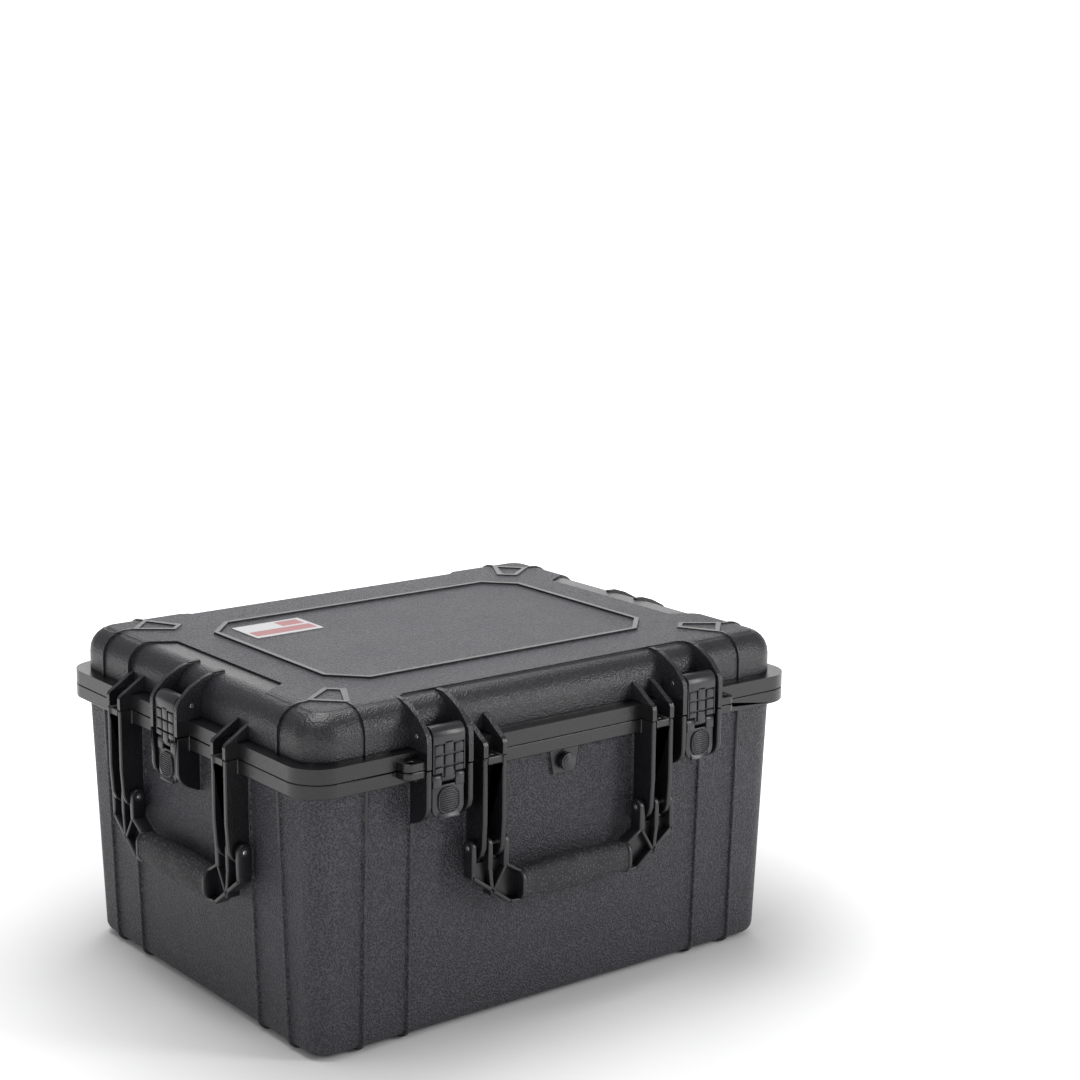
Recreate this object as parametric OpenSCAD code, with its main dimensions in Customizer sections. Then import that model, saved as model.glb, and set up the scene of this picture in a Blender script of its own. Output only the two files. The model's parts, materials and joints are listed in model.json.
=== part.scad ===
// Hard equipment case: a ribbed base and a hinged lid, four two-piece latches,
// three folding handles, a purge valve, and foam inside.
// X runs along the case, the front faces -Y, and Z = 0 is the underside of the feet.

/* [Case] */
// Length over the rim
rim_l = 630; // [500:2:780]
// Width over the rim
rim_w = 496; // [400:2:600]
// Height of the parting line above the feet
parting_z = 289.5; // [240:0.5:360]
// Height of the lid above the parting line, ridges included
lid_h = 64.5; // [58:0.5:80]
// Corner radius of the rim
rim_r = 35; // [28:1:42]
// Height of each half's rim
rim_h = 15; // [12:0.5:18]
// Distance from the rim's edge in to the outer wall
wall_inset = 12; // [10:0.5:14.5]
// Thickness of the base and lid walls
wall_t = 4.5; // [3.5:0.1:5.5]
// Amount by which each base wall leans in by the bottom
draft = 9; // [2:0.5:11]
// Gap between the closed rims
rim_gap = 0.3; // [0.2:0.1:0.5]

/* [Ribs] */
// Width of the base ribs
rib_w = 4; // [3:0.5:6]
// Height of the base ribs and feet
rib_h = 3; // [2:0.5:4]
// Distance of the corner ribs from the outer wall of the corner
corner_rib = 62; // [50:1:80]
// Half the distance between the front pair of middle ribs
mid_rib_x = 188; // [170:1:210]
// Half the distance between the end pair of middle ribs
mid_rib_y = 121; // [110:1:135]

/* [Lid] */
// Radius of the lid's shoulder
shoulder_r = 26; // [18:1:30]
// Depth of the recessed panel in each side of the lid
recess_d = 4; // [2:0.5:5]
// Height of the ridges on the lid
ridge_h = 2.5; // [1.5:0.5:3.5]
// Width of the ridges on the lid
ridge_w = 5; // [4:0.5:8]
// Length of the label plate
label_l = 84; // [60:1:100]
// Width of the label plate
label_w = 55; // [40:1:70]

/* [Seal] */
// Width of the base rim's tongue
tongue_w = 3; // [2:0.5:4]
// Height of the base rim's tongue
tongue_h = 4; // [3:0.5:5]
// Side clearance between the tongue and the lid's groove
groove_gap = 1.2; // [0.8:0.1:1.5]
// Thickness of the gasket
gasket_t = 2; // [1.5:0.5:3]

/* [Guards] */
// Reach of the front guards and the hinge beyond the rim
guard_y = 18; // [17:0.5:24]
// Reach of the end guards beyond the rim
guard_x = 14; // [14:0.5:20]

/* [Latches] */
// Distance of each front latch from the middle of the case
latch_x = 163; // [158:1:200]
// Width of a latch
latch_w = 38; // [32:1:40]
// Thickness of each latch guard ear
ear_t = 5.5; // [5:0.5:6.5]
// Clearance between a latch and its ears
latch_gap = 3; // [2.5:0.5:4]
// Radius of the latch's lid pin
latch_pin_r = 2.5; // [2:0.1:3]
// Radius of the pin between link and lever
lever_pin_r = 2; // [1.5:0.1:2.4]
// Running clearance of the pins, on the radius
run_gap = 0.05; // [0.02:0.01:0.09]
// Gap between a closed lever's hook and the catch bar
hook_gap = 0.4; // [0.3:0.1:1]

/* [Handles] */
// Length of the grip
grip_l = 138; // [120:1:140]
// Height of the grip
grip_h = 36; // [32:1:38]
// Depth of the grip from front to back
grip_d = 27; // [24:1:27]
// Height of the handle pins above the feet
handle_pin_z = 195.5; // [170:0.5:210]
// Drop from the handle pins to the middle of the grip
grip_drop = 49.5; // [46:0.5:54]
// Distance of the inner bracket plate from the middle of the handle
plate_x = 94; // [92:0.5:98]
// Thickness of each bracket plate
plate_t = 5.5; // [4:0.5:6]
// Distance between the outer faces of a plate pair
plate_pair = 29; // [26:0.5:32]
// Radius of the handle pins
handle_pin_r = 2.5; // [2:0.1:3]

/* [Hinge] */
// Radius of the hinge knuckles
knuckle_r = 8; // [6:0.5:9]
// Radius of the hinge pins
hinge_pin_r = 2.5; // [2:0.1:3.5]
// Half the length of the whole hinge
hinge_half = 219; // [190:1:225]
// Number of hinge groups
hinge_groups = 9; // [5:1:11]

/* [Inside] */
// Depth of the base foam's top below the parting line
foam_drop = 22; // [12:1:40]
// Thickness of the bottom foam pad
pad_t = 16; // [8:1:25]
// Thickness of the lower foam layer
layer_t = 118; // [80:1:125]
// Height of the lid foam's face above the parting line
lid_foam_z = 10; // [8:1:16]
// Clearance around the foam
foam_gap = 0.4; // [0.2:0.1:1]

/* [Purge valve] */
// Height of the valve below the parting line
vent_drop = 30.5; // [29:0.5:40]
// Radius of the valve's knob
knob_r = 9.5; // [8:0.5:11]
// Radius of the valve's stem through the wall
stem_r = 5.5; // [4.5:0.5:6]

/* [Padlock lugs] */
// Radius of the padlock holes
lock_r = 4; // [3:0.5:5]
// Thickness of each padlock lug
lug_h = 8; // [6:0.5:10]

/* [Hidden] */
$fn = 48;
e = 0.01;
cut = 1;

// Outer half sizes of the walls, and the planes that the guards reach
wall_x = rim_l / 2 - wall_inset;
wall_y = rim_w / 2 - wall_inset;
reach_x = rim_l / 2 + guard_x;
reach_y = rim_w / 2 + guard_y;
wall_r = rim_r - wall_inset / 2;
base_edge_r = 12;
lid_z = parting_z + rim_gap;
lid_top = parting_z + lid_h;
skin_z = lid_top - ridge_h;
flange_z = parting_z - rim_h;

// Middle of the tongue and groove, measured in from the rim's edge
seal_in = 7;
groove_h = tongue_h + gasket_t + 0.6;

// Lid panel corners
octagon = [[207, 109], [174, 144]];
panel_x = latch_x + latch_w / 2 + latch_gap + ear_t - 2;
panel_y = plate_x + plate_pair + 1;

// Pins, measured in from the guard plane
ear_in = latch_w / 2 + latch_gap;
ear_out = ear_in + ear_t;
latch_pin_in = 18;
latch_pin_up = 30.5;
lever_pin_in = 8;
catch_in = 12;
lever_pin_down = 12;
handle_pin_in = 15;
guard_root = 36;
prong_gap = 0.6;
prong_in = plate_x - prong_gap - 8;
prong_out = plate_x + plate_pair + prong_gap + 8;
prong_r = 8;
grip_z = handle_pin_z - grip_drop;

// Hinge axis
hinge_y = reach_y - knuckle_r;
group_w = 26;

// A flat plate with round corners, centred on the Z axis
module plate(l, w, r, h) {
  linear_extrude(h) union() {
    square([l - 2 * r, w], center = true);
    square([l, w - 2 * r], center = true);
    for (x = [-1, 1], y = [-1, 1]) translate([x * (l / 2 - r), y * (w / 2 - r)]) circle(r);
  }
}

// Four upright corner posts of a round-cornered box, to be wrapped in a hull
module posts(x, y, r, z, h) {
  for (i = [-1, 1], j = [-1, 1])
    translate([i * (x - r), j * (y - r), z]) cylinder(r = r, h = h, $fn = 32);
}

// Four rings that round the corners and the upper or lower edges of a box at one height
module corner_rings(x, y, r, tube, z, upper) {
  for (i = [-1, 1], j = [-1, 1])
    translate([i * (x - r), j * (y - r), z])
      rotate_extrude($fn = 32) translate([r - tube, 0]) intersection() {
        circle(tube, $fn = 24);
        translate([0, upper ? 0 : -tube]) square(tube);
      }
}

// The base as one closed body, grown by a margin on every side
module base_body(grow, top) {
  hull() {
    posts(wall_x + grow, wall_y + grow, wall_r + grow, top - 1, 1);
    corner_rings(wall_x - draft + grow, wall_y - draft + grow, wall_r - 4 + grow,
      base_edge_r + grow, rib_h + base_edge_r, false);
  }
}

// Four round columns at the corners of a box, whose upper edges are rounded
module corner_columns(x, y, r, tube, z0, z1) {
  for (i = [-1, 1], j = [-1, 1])
    translate([i * (x - r), j * (y - r), 0]) rotate_extrude($fn = 32) {
      translate([0, z0]) square([r, z1 - tube - z0]);
      translate([r - tube, z1 - tube]) intersection() {
        circle(tube, $fn = 24);
        square(tube);
      }
    }
}

// The lid as one closed body, moved in at the sides and down from the top
module lid_body(side, down, tube) {
  hull() corner_columns(wall_x - side, wall_y - side, max(wall_r + 4 - side, tube + 1), tube,
    lid_z, skin_z - down);
}

// Children drawn at each of the two mirrored places along X
module both_x() { children(); mirror([1, 0, 0]) children(); }
module both_y() { children(); mirror([0, 1, 0]) children(); }

// Places a piece drawn for the front, whose guard plane is at y = 0
module on_front(x = 0) { translate([x, -reach_y, 0]) children(); }
module on_left() { rotate([0, 0, -90]) translate([0, -reach_x, 0]) children(); }
module on_right() { rotate([0, 0, 90]) translate([0, -reach_x, 0]) children(); }

// A guard profile of [depth, height] points, made into a plate from x0 to x1
module guard(points, x0, x1) {
  translate([x0, 0, 0]) rotate([90, 0, 90]) linear_extrude(x1 - x0) polygon(points);
}

// A cylinder along X between two places
module rod(r, x0, x1) { translate([x0, 0, 0]) rotate([0, 90, 0]) cylinder(r = r, h = x1 - x0); }

lid_ear = [
  [58, parting_z + lid_h - ridge_h - 6], [56, skin_z], [44, skin_z - 0.5], [32, skin_z - 4.5],
  [16, skin_z - 13], [4.5, skin_z - 24], [1, skin_z - 29], [0, skin_z - 35], [0, lid_z],
  [guard_root, lid_z], [guard_root, skin_z - 20]
];
base_ear = [
  [guard_root, parting_z - 1], [0, parting_z - 1], [0, parting_z - 38], [1.5, parting_z - 44],
  [5, parting_z - 49], [12, parting_z - 54], [23, parting_z - 59], [guard_root, parting_z - 61]
];
lid_brace = [
  [guard_root, lid_z + 36], [26, lid_z + 31], [1.5, lid_z + 15], [0, lid_z + 12], [0, lid_z],
  [guard_root, lid_z]
];
base_brace = [
  [guard_root, parting_z], [1, parting_z], [0, parting_z - 1], [0, handle_pin_z + 30],
  [2, handle_pin_z], [5.5, handle_pin_z - 8], [13, handle_pin_z - 14], [guard_root, handle_pin_z - 17]
];

// The guards of one latch on the base, with the bar that the hook faces. Beside the
// end latches their inner faces lean back towards the rim, so that a closed lever
// clears them as it follows the lid round the hinge.
lean_h = 29;
lean_in = 4.7;
module base_latch_guards(leaning) {
  both_x() difference() {
    guard(base_ear, ear_in, ear_out);
    if (leaning)
      translate([0, catch_in + e, 0]) rotate([90, 0, 0]) linear_extrude(catch_in + 1) polygon([
        [ear_in - e, parting_z - lean_h], [ear_in + lean_in, parting_z + e], [ear_in - e, parting_z + e]]);
  }
  translate([-ear_in - e, catch_in, parting_z - 42])
    cube([2 * (ear_in + e), guard_root - catch_in, 6]);
}

module lid_latch_guards() {
  both_x() guard(lid_ear, ear_in, ear_out);
}

// The plates that carry one end of a handle, joined by a cap at the rim
module base_handle_guards() {
  both_x() {
    guard(base_brace, plate_x, plate_x + plate_t);
    guard(base_brace, plate_x + plate_pair - plate_t, plate_x + plate_pair);
    translate([plate_x + e, 1, parting_z - 8]) cube([plate_pair - 2 * e, guard_root - 1, 8 - e]);
  }
}

module lid_handle_guards() {
  both_x() {
    guard(lid_brace, plate_x, plate_x + plate_t);
    guard(lid_brace, plate_x + plate_pair - plate_t, plate_x + plate_pair);
  }
}

// Bores for the two pins of a handle and the small drain hole in each cap
module base_handle_bores() {
  both_x() {
    translate([0, handle_pin_in, handle_pin_z])
      rod(handle_pin_r + 0.02, plate_x - cut, plate_x + plate_pair + cut);
    translate([plate_x + plate_pair / 2, 7, parting_z - 8 - cut]) cylinder(r = 2, h = 8 + 2 * cut);
  }
}

module lid_latch_bore() {
  translate([0, latch_pin_in, parting_z + latch_pin_up])
    rod(latch_pin_r + 0.02, -ear_out - cut, ear_out + cut);
}

// The padlock lugs outside the front latches, in the front frame. They stand against the
// rim and against the latches' guard ears.
lug_l = 22;
lug_r = 8;
lug_in = 3;
lug_hole = [12, 10];
module lugs(z) {
  both_x() translate([latch_x + ear_out, 0, z]) linear_extrude(lug_h) difference() {
    union() {
      translate([0, lug_in]) square([lug_l - lug_r, guard_y]);
      translate([lug_l - lug_r, lug_in + lug_r]) circle(lug_r);
      translate([lug_l - lug_r, lug_in + lug_r]) square([lug_r, guard_y]);
    }
    translate([0, guard_y]) square(2 * guard_y);
    translate(lug_hole) circle(lock_r);
  }
}
module base_padlock_lugs() color("#26272a") on_front() lugs(parting_z - lug_h);
module lid_padlock_lugs() color("#2b2c2f") on_front() lugs(lid_z);

// Rib slabs that cut the grown base body down to its ribs
module rib_slabs() {
  for (s = [-1, 1]) {
    for (x = [mid_rib_x, wall_x - corner_rib])
      translate([s * x - rib_w / 2, -rim_w, -cut]) cube([rib_w, 2 * rim_w, parting_z]);
    for (y = [mid_rib_y, wall_y - corner_rib + 4])
      translate([-rim_l, s * y - rib_w / 2, -cut]) cube([2 * rim_l, rib_w, parting_z]);
  }
}

// Hinge: each group is a lid knuckle between two base knuckles
function group_x(i) = -hinge_half + group_w / 2
  + i * (2 * hinge_half - group_w) / (hinge_groups - 1);
module knuckle(w, z0, z1) {
  translate([0, hinge_y, parting_z]) rod(knuckle_r, -w / 2, w / 2);
  translate([-w / 2, hinge_y - knuckle_r - guard_y / 2, z0]) cube([w, guard_y / 2 + knuckle_r, z1 - z0]);
}
module base_knuckles() {
  for (i = [0 : hinge_groups - 1], s = [-1, 1])
    translate([group_x(i) + s * 9, 0, 0]) knuckle(8, parting_z - rim_h + 2, parting_z - 1);
}
module lid_knuckles() {
  for (i = [0 : hinge_groups - 1])
    translate([group_x(i), 0, 0]) knuckle(9.4, lid_z + 1, lid_z + rim_h - 2);
}
module hinge_bore(gap) {
  translate([0, hinge_y, parting_z]) rod(hinge_pin_r + gap, -hinge_half - cut, hinge_half + cut);
}

// Valve axis on the front wall, pointing out of the case
vent_z = parting_z - vent_drop;
pad_y = -wall_y - 2.5;
module at_vent() { translate([0, pad_y, vent_z]) rotate([90, 0, 0]) children(); }

module vent_pad() {
  translate([0, pad_y, vent_z]) rotate([90, 0, 180]) linear_extrude(6)
    polygon([[-15, -13], [15, -13], [20, 15.6], [-20, 15.6]]);
}

module base_shell() color("#26272a") difference() {
  union() {
    base_body(0, parting_z - 2);
    intersection() {
      base_body(rib_h, parting_z - 2);
      rib_slabs();
    }
    translate([0, 0, flange_z]) plate(rim_l, rim_w, rim_r, rim_h);
    translate([0, 0, parting_z - 1])
      plate(rim_l - 2 * seal_in + tongue_w, rim_w - 2 * seal_in + tongue_w,
        rim_r - seal_in + tongue_w / 2, tongue_h + 1);
    on_front() base_handle_guards();
    on_left() base_handle_guards();
    on_right() base_handle_guards();
    on_front(-latch_x) base_latch_guards(false);
    on_front(latch_x) base_latch_guards(false);
    on_left() base_latch_guards(true);
    on_right() base_latch_guards(true);
    base_knuckles();
    vent_pad();
  }
  base_cavity();
  translate([0, 0, parting_z])
    plate(rim_l - 2 * seal_in - tongue_w, rim_w - 2 * seal_in - tongue_w,
      rim_r - seal_in - tongue_w / 2, tongue_h + cut);
  on_front() base_handle_bores();
  on_left() base_handle_bores();
  on_right() base_handle_bores();
  hinge_bore(0.02);
  at_vent() translate([0, 0, -20]) cylinder(r = stem_r + 0.1, h = 30);
}

module base_cavity() {
  hull() {
    posts(wall_x - wall_t, wall_y - wall_t, wall_r - wall_t, parting_z, 1);
    corner_rings(wall_x - draft - wall_t, wall_y - draft - wall_t, wall_r - 4 - wall_t,
      base_edge_r - 4, rib_h + wall_t + base_edge_r - 4, false);
  }
}

// Panels of the lid's sides, cut back by the recess depth
module lid_side_panels() {
  both_y() translate([0, 0, lid_z + rim_h]) linear_extrude(lid_h) polygon([
    [-panel_x, -rim_w / 2 - 9], [panel_x, -rim_w / 2 - 9], [panel_x, -wall_y + 21],
    [panel_x - 10, -wall_y + 30], [10 - panel_x, -wall_y + 30], [-panel_x, -wall_y + 21]]);
  both_x() translate([0, 0, lid_z + rim_h]) linear_extrude(lid_h) polygon([
    [-rim_l / 2 - 9, -panel_y], [-rim_l / 2 - 9, panel_y], [-wall_x + 21, panel_y],
    [-wall_x + 50, panel_y - 18], [-wall_x + 50, 18 - panel_y], [-wall_x + 21, -panel_y]]);
}

// Slabs that keep the corner ribs running over the shoulder
module lid_rib_slabs() {
  for (s = [-1, 1], t = [-1, 1]) {
    translate([s * (wall_x - corner_rib) - 1.5, t * (wall_y - 13) - 16, lid_z]) cube([3, 32, lid_h]);
    translate([s * (wall_x - 13) - 21, t * (wall_y - corner_rib + 4) - 1.5, lid_z]) cube([42, 3, lid_h]);
  }
}

// The raised outline near each corner of the lid's top
module corner_frames() {
  for (i = [0, 1], j = [0, 1]) mirror([i, 0, 0]) mirror([0, j, 0])
    translate([wall_x, wall_y, skin_z - e]) linear_extrude(1.6) difference() {
      polygon([[-71, -88], [-88, -72], [-64, -29.5], [-33.5, -60.5]]);
      polygon([[-71, -81.5], [-80.5, -72.5], [-62.6, -38], [-41.5, -60.3]]);
    }
}

module lid_ridge() {
  a = octagon[0]; b = octagon[1]; w = ridge_w; k = ridge_w * 0.45;
  outer = [a, b, [-b.x, b.y], [-a.x, a.y], [-a.x, -a.y], [-b.x, -b.y], [b.x, -b.y], [a.x, -a.y]];
  c = [a.x - w, a.y - k]; d = [b.x - k, b.y - w];
  inner = [c, d, [-d.x, d.y], [-c.x, c.y], [-c.x, -c.y], [-d.x, -d.y], [d.x, -d.y], [c.x, -c.y]];
  translate([0, 0, skin_z - e]) linear_extrude(ridge_h + e) difference() {
    polygon(outer);
    polygon(inner);
  }
}

module lid_shell() color("#2b2c2f") difference() {
  union() {
    difference() {
      union() {
        lid_body(0, 0, shoulder_r);
        intersection() {
          lid_body(-2, -1.5, shoulder_r);
          lid_rib_slabs();
        }
      }
      difference() {
        lid_side_panels();
        lid_body(recess_d, 2, shoulder_r);
      }
    }
    translate([0, 0, lid_z]) plate(rim_l, rim_w, rim_r, rim_h);
    lid_ridge();
    corner_frames();
    on_front() lid_handle_guards();
    on_left() lid_handle_guards();
    on_right() lid_handle_guards();
    on_front(-latch_x) lid_latch_guards();
    on_front(latch_x) lid_latch_guards();
    on_left() lid_latch_guards();
    on_right() lid_latch_guards();
    lid_knuckles();
  }
  lid_cavity();
  difference() {
    translate([0, 0, lid_z - cut]) groove_plate(tongue_w / 2 + groove_gap, groove_h + cut);
    translate([0, 0, lid_z - 2 * cut]) groove_plate(-tongue_w / 2 - groove_gap, groove_h + 3 * cut);
  }
  on_front(-latch_x) lid_latch_bore();
  on_front(latch_x) lid_latch_bore();
  on_left() lid_latch_bore();
  on_right() lid_latch_bore();
  hinge_bore(run_gap);
}

// A plate whose edge lies a given distance outside the seal's middle line
module groove_plate(off, h) {
  plate(rim_l - 2 * seal_in + 2 * off, rim_w - 2 * seal_in + 2 * off, rim_r - seal_in + off, h);
}

module lid_cavity() {
  hull() {
    posts(wall_x - wall_t, wall_y - wall_t, wall_r - wall_t, lid_z - 1, rim_h);
    corner_rings(wall_x - recess_d - wall_t, wall_y - recess_d - wall_t, wall_r,
      shoulder_r - 6, skin_z - 2 - wall_t - shoulder_r + 6, true);
  }
}

module lid_gasket() color("#1b1b1c") difference() {
  translate([0, 0, lid_z + groove_h - gasket_t])
    groove_plate(tongue_w / 2 + groove_gap - 0.1, gasket_t);
  translate([0, 0, lid_z + groove_h - gasket_t - cut])
    groove_plate(-tongue_w / 2 - groove_gap + 0.1, gasket_t + 2 * cut);
}

label_at = [-138, 91];
module label_plate() color("#b9babc")
  translate([label_at.x, label_at.y, skin_z]) plate(label_l, label_w, 2, 0.8);

// Foam layers between two heights, following the lean of the base walls
foam_z0 = rib_h + wall_t;
foam_z1 = parting_z - foam_drop;
function lean(z) = draft * (parting_z - z) / (parting_z - rib_h - base_edge_r);
module foam_block(z0, z1, inset = 0) {
  hull() {
    posts(wall_x - wall_t - lean(z0) - foam_gap - inset, wall_y - wall_t - lean(z0) - foam_gap - inset,
      wall_r - wall_t, z0, 0.5);
    posts(wall_x - wall_t - lean(z1) - foam_gap, wall_y - wall_t - lean(z1) - foam_gap,
      wall_r - wall_t, z1 - 0.5, 0.5);
  }
}
module foam_bottom_pad() color("#55565a")
  foam_block(foam_z0 + foam_gap, foam_z0 + pad_t, base_edge_r - 6);
module foam_lower_layer() color("#606165")
  foam_block(foam_z0 + pad_t + foam_gap, foam_z0 + pad_t + layer_t);
module foam_upper_layer() color("#6b6c70") difference() {
  foam_block(foam_z0 + pad_t + layer_t + foam_gap, foam_z1);
  translate([-14, -wall_y, vent_z - 14]) cube([28, wall_t + 12, 60]);
}
module lid_foam() color("#5c5d61") hull() {
  posts(wall_x - wall_t - foam_gap - 4, wall_y - wall_t - foam_gap - 4, wall_r,
    parting_z + lid_foam_z, 12);
  posts(wall_x - recess_d - wall_t - 18, wall_y - recess_d - wall_t - 18, wall_r,
    skin_z - 2 - wall_t - foam_gap - 1, 1);
}

module hinge_pin(s) {
  color("#c9cbcd") translate([0, hinge_y, parting_z])
    rod(hinge_pin_r, s < 0 ? -hinge_half : 0.5, s < 0 ? -0.5 : hinge_half);
}
module hinge_pin_left() { hinge_pin(-1); }
module hinge_pin_right() { hinge_pin(1); }

// Valve pieces, along the valve's axis from the pad's face outwards
module vent_seal() color("#151515") at_vent() difference() {
  cylinder(r = knob_r - 1.5, h = 1);
  translate([0, 0, -cut]) cylinder(r = stem_r + 0.1, h = 1 + 2 * cut);
}
module vent_body() color("#303134") at_vent() {
  translate([0, 0, 1]) cylinder(r = knob_r - 1, h = 2);
  translate([0, 0, -vent_depth - 6]) cylinder(r = stem_r, h = vent_depth + 8);
  translate([0, 0, 2.5]) cylinder(r = 3.5, h = 4);
}
vent_depth = wall_t + lean(vent_z) - pad_y - wall_y;
module vent_nut() color("#3a3b3e") at_vent() translate([0, 0, -vent_depth - 4.5]) difference() {
  cylinder(r = stem_r + 4, h = 4, $fn = 6);
  translate([0, 0, -cut]) cylinder(r = stem_r + 0.02, h = 4 + 2 * cut);
}
module vent_knob() color("#1d1e20") at_vent() translate([0, 0, 3.3]) difference() {
  cylinder(r = knob_r, h = 5);
  translate([0, 0, -cut]) cylinder(r = 3.5 + run_gap, h = 3.5 + cut);
  for (i = [0 : 11])
    rotate([0, 0, i * 30]) translate([knob_r + 0.6, 0, 1]) cylinder(r = 1.4, h = 5, $fn = 16);
  translate([-knob_r + 3.5, -0.8, 4]) cube([2 * knob_r - 7, 1.6, 2]);
}

// Latch link: carried on the lid pin, with the middle knuckle of the lever pin
link_t = 6.5;
knuckle_half = 7.5;
lever_z = parting_z - lever_pin_down;
link_side = [
  [1.5, parting_z + 12], [1.5, parting_z + 31], [4, parting_z + 37], [9, parting_z + 40.5],
  [15, parting_z + 40], [latch_pin_in, parting_z + latch_pin_up + 6.5],
  [latch_pin_in, parting_z + latch_pin_up - 6.5], [8, parting_z + 20], [8, parting_z + 12]
];
module link_grid() {
  for (i = [-1, 0, 1], j = [0 : (i == 0 ? 1 : 2)])
    translate([i * 11.8 - 4.8, 0, lever_z + 8 + j * 11 - (i == 0 ? 3 : 0)]) cube([9.6, 2.7, 9.4]);
}
module latch_link() color("#242528") difference() {
  union() {
    guard(link_side, -latch_w / 2, latch_w / 2);
    translate([-latch_w / 2, 1.5, lever_z + 6]) cube([latch_w, link_t, 20]);
    translate([-knuckle_half, 1.5, lever_z]) cube([2 * knuckle_half, link_t, 7]);
    translate([0, lever_pin_in, lever_z]) rod(5, -knuckle_half, knuckle_half);
    translate([0, latch_pin_in, parting_z + latch_pin_up]) rod(6.5, -latch_w / 2, latch_w / 2);
  }
  translate([0, latch_pin_in, parting_z + latch_pin_up])
    rod(latch_pin_r + run_gap, -latch_w / 2 - cut, latch_w / 2 + cut);
  translate([0, lever_pin_in, lever_z]) rod(lever_pin_r + 0.02, -knuckle_half - cut, knuckle_half + cut);
  link_grid();
}

// Latch lever: outer knuckles, thumb pad with ridges, flared lip and hook nose
lever_side = [
  [2.5, lever_z - 1], [2.5, parting_z - 45], [0.6, parting_z - 51.5], [1.2, parting_z - 53],
  [5, parting_z - 52.5], [7, parting_z - 47], [8, parting_z - 40],
  [catch_in - hook_gap, parting_z - 41], [catch_in - hook_gap, parting_z - 32],
  [8, parting_z - 24], [8, lever_z - 1]
];
lip_r = 10;
// What is cut from the lip's lower right corner to round it
module lip_corner() {
  translate([-lip_r, -cut, 0]) rotate([-90, 0, 0]) translate([0, -lip_r, 0]) difference() {
    cube([lip_r + cut, lip_r + cut, 30]);
    translate([0, 0, -cut]) cylinder(r = lip_r, h = 30 + 2 * cut);
  }
}
module latch_lever() color("#242528") difference() {
  union() {
    guard(lever_side, -latch_w / 2, latch_w / 2);
    both_x() translate([0, lever_pin_in, lever_z]) rod(5, knuckle_half + 0.4, latch_w / 2);
    both_x() translate([knuckle_half + 0.4, 2.5, lever_z - 5])
      cube([latch_w / 2 - knuckle_half - 0.4, 5, 5]);
    translate([-13.5, 0.8, parting_z - 49]) cube([27, 3, 30]);
  }
  translate([0, lever_pin_in, lever_z]) {
    rod(lever_pin_r + run_gap, -latch_w / 2 - cut, latch_w / 2 + cut);
  }
  translate([-knuckle_half - 0.4, 0, lever_z - 6.5]) cube([2 * knuckle_half + 0.8, 20, 20]);
  both_x() translate([latch_w / 2, 0, parting_z - 53]) lip_corner();
  for (i = [0 : 7]) translate([-11.5, 0.8 - cut, parting_z - 46.5 + i * 3.3]) cube([23, cut + 0.9, 1.4]);
}

module latch_pin() color("#c9cbcd")
  translate([0, latch_pin_in, parting_z + latch_pin_up]) rod(latch_pin_r, -ear_out, ear_out);
module lever_pin() color("#c9cbcd")
  translate([0, lever_pin_in, lever_z]) rod(lever_pin_r, 0.5 - latch_w / 2, latch_w / 2 - 0.5);

module front_left_latch_link() { on_front(-latch_x) latch_link(); }
module front_left_latch_lever() { on_front(-latch_x) latch_lever(); }
module front_left_latch_pin() { on_front(-latch_x) latch_pin(); }
module front_left_lever_pin() { on_front(-latch_x) lever_pin(); }
module front_right_latch_link() { on_front(latch_x) latch_link(); }
module front_right_latch_lever() { on_front(latch_x) latch_lever(); }
module front_right_latch_pin() { on_front(latch_x) latch_pin(); }
module front_right_lever_pin() { on_front(latch_x) lever_pin(); }
module left_latch_link() { on_left() latch_link(); }
module left_latch_lever() { on_left() latch_lever(); }
module left_latch_pin() { on_left() latch_pin(); }
module left_lever_pin() { on_left() lever_pin(); }
module right_latch_link() { on_right() latch_link(); }
module right_latch_lever() { on_right() latch_lever(); }
module right_latch_pin() { on_right() latch_pin(); }
module right_lever_pin() { on_right() lever_pin(); }

// Handle arm seen from the front, for the right-hand side
arm_d = 15;
arm_step = handle_pin_z - prong_r - 10.5;
arm_outline = [
  [prong_in, handle_pin_z], [prong_in, handle_pin_z - 14], [grip_l / 2 + 11, grip_z + 24],
  [grip_l / 2 + 3, grip_z + 17], [grip_l / 2 - 2, grip_z + 16], [grip_l / 2 - 2, grip_z - 16],
  [grip_l / 2 + 12, grip_z - 17], [grip_l / 2 + 17, grip_z - 16], [prong_out - 10, grip_z + 8],
  [prong_out - 2, grip_z + 15], [prong_out, grip_z + 20], [prong_out, handle_pin_z]
];
module arm_windows() {
  linear_extrude(arm_d + 2 * cut) {
    polygon([[prong_in + 4, grip_z + 26], [prong_in + 25, grip_z + 26], [prong_in - 3, grip_z + 1]]);
    polygon([[prong_in + 31, grip_z + 26], [prong_out - 4, grip_z + 26], [prong_out - 4, grip_z + 21],
      [prong_out - 12, grip_z + 13], [prong_in + 4, grip_z - 4]]);
  }
}
module handle_frame() color("#26272a") difference() {
  union() {
    both_x() {
      translate([0, handle_pin_in + arm_d / 2, 0]) rotate([90, 0, 0])
        linear_extrude(arm_d) polygon(arm_outline);
      translate([0, handle_pin_in, handle_pin_z]) rod(prong_r, prong_in, prong_out);
    }
    translate([0, handle_pin_in, grip_z]) rod(9, -grip_l / 2, grip_l / 2);
  }
  both_x() {
    translate([0, handle_pin_in + arm_d / 2 + cut, 0]) rotate([90, 0, 0]) arm_windows();
    for (x = [plate_x, plate_x + plate_pair - plate_t])
      translate([x - prong_gap, 0, arm_step]) cube([plate_t + 2 * prong_gap, 40, 60]);
    translate([0, handle_pin_in, handle_pin_z])
      rod(handle_pin_r + run_gap, prong_in - cut, prong_out + cut);
  }
}
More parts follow.
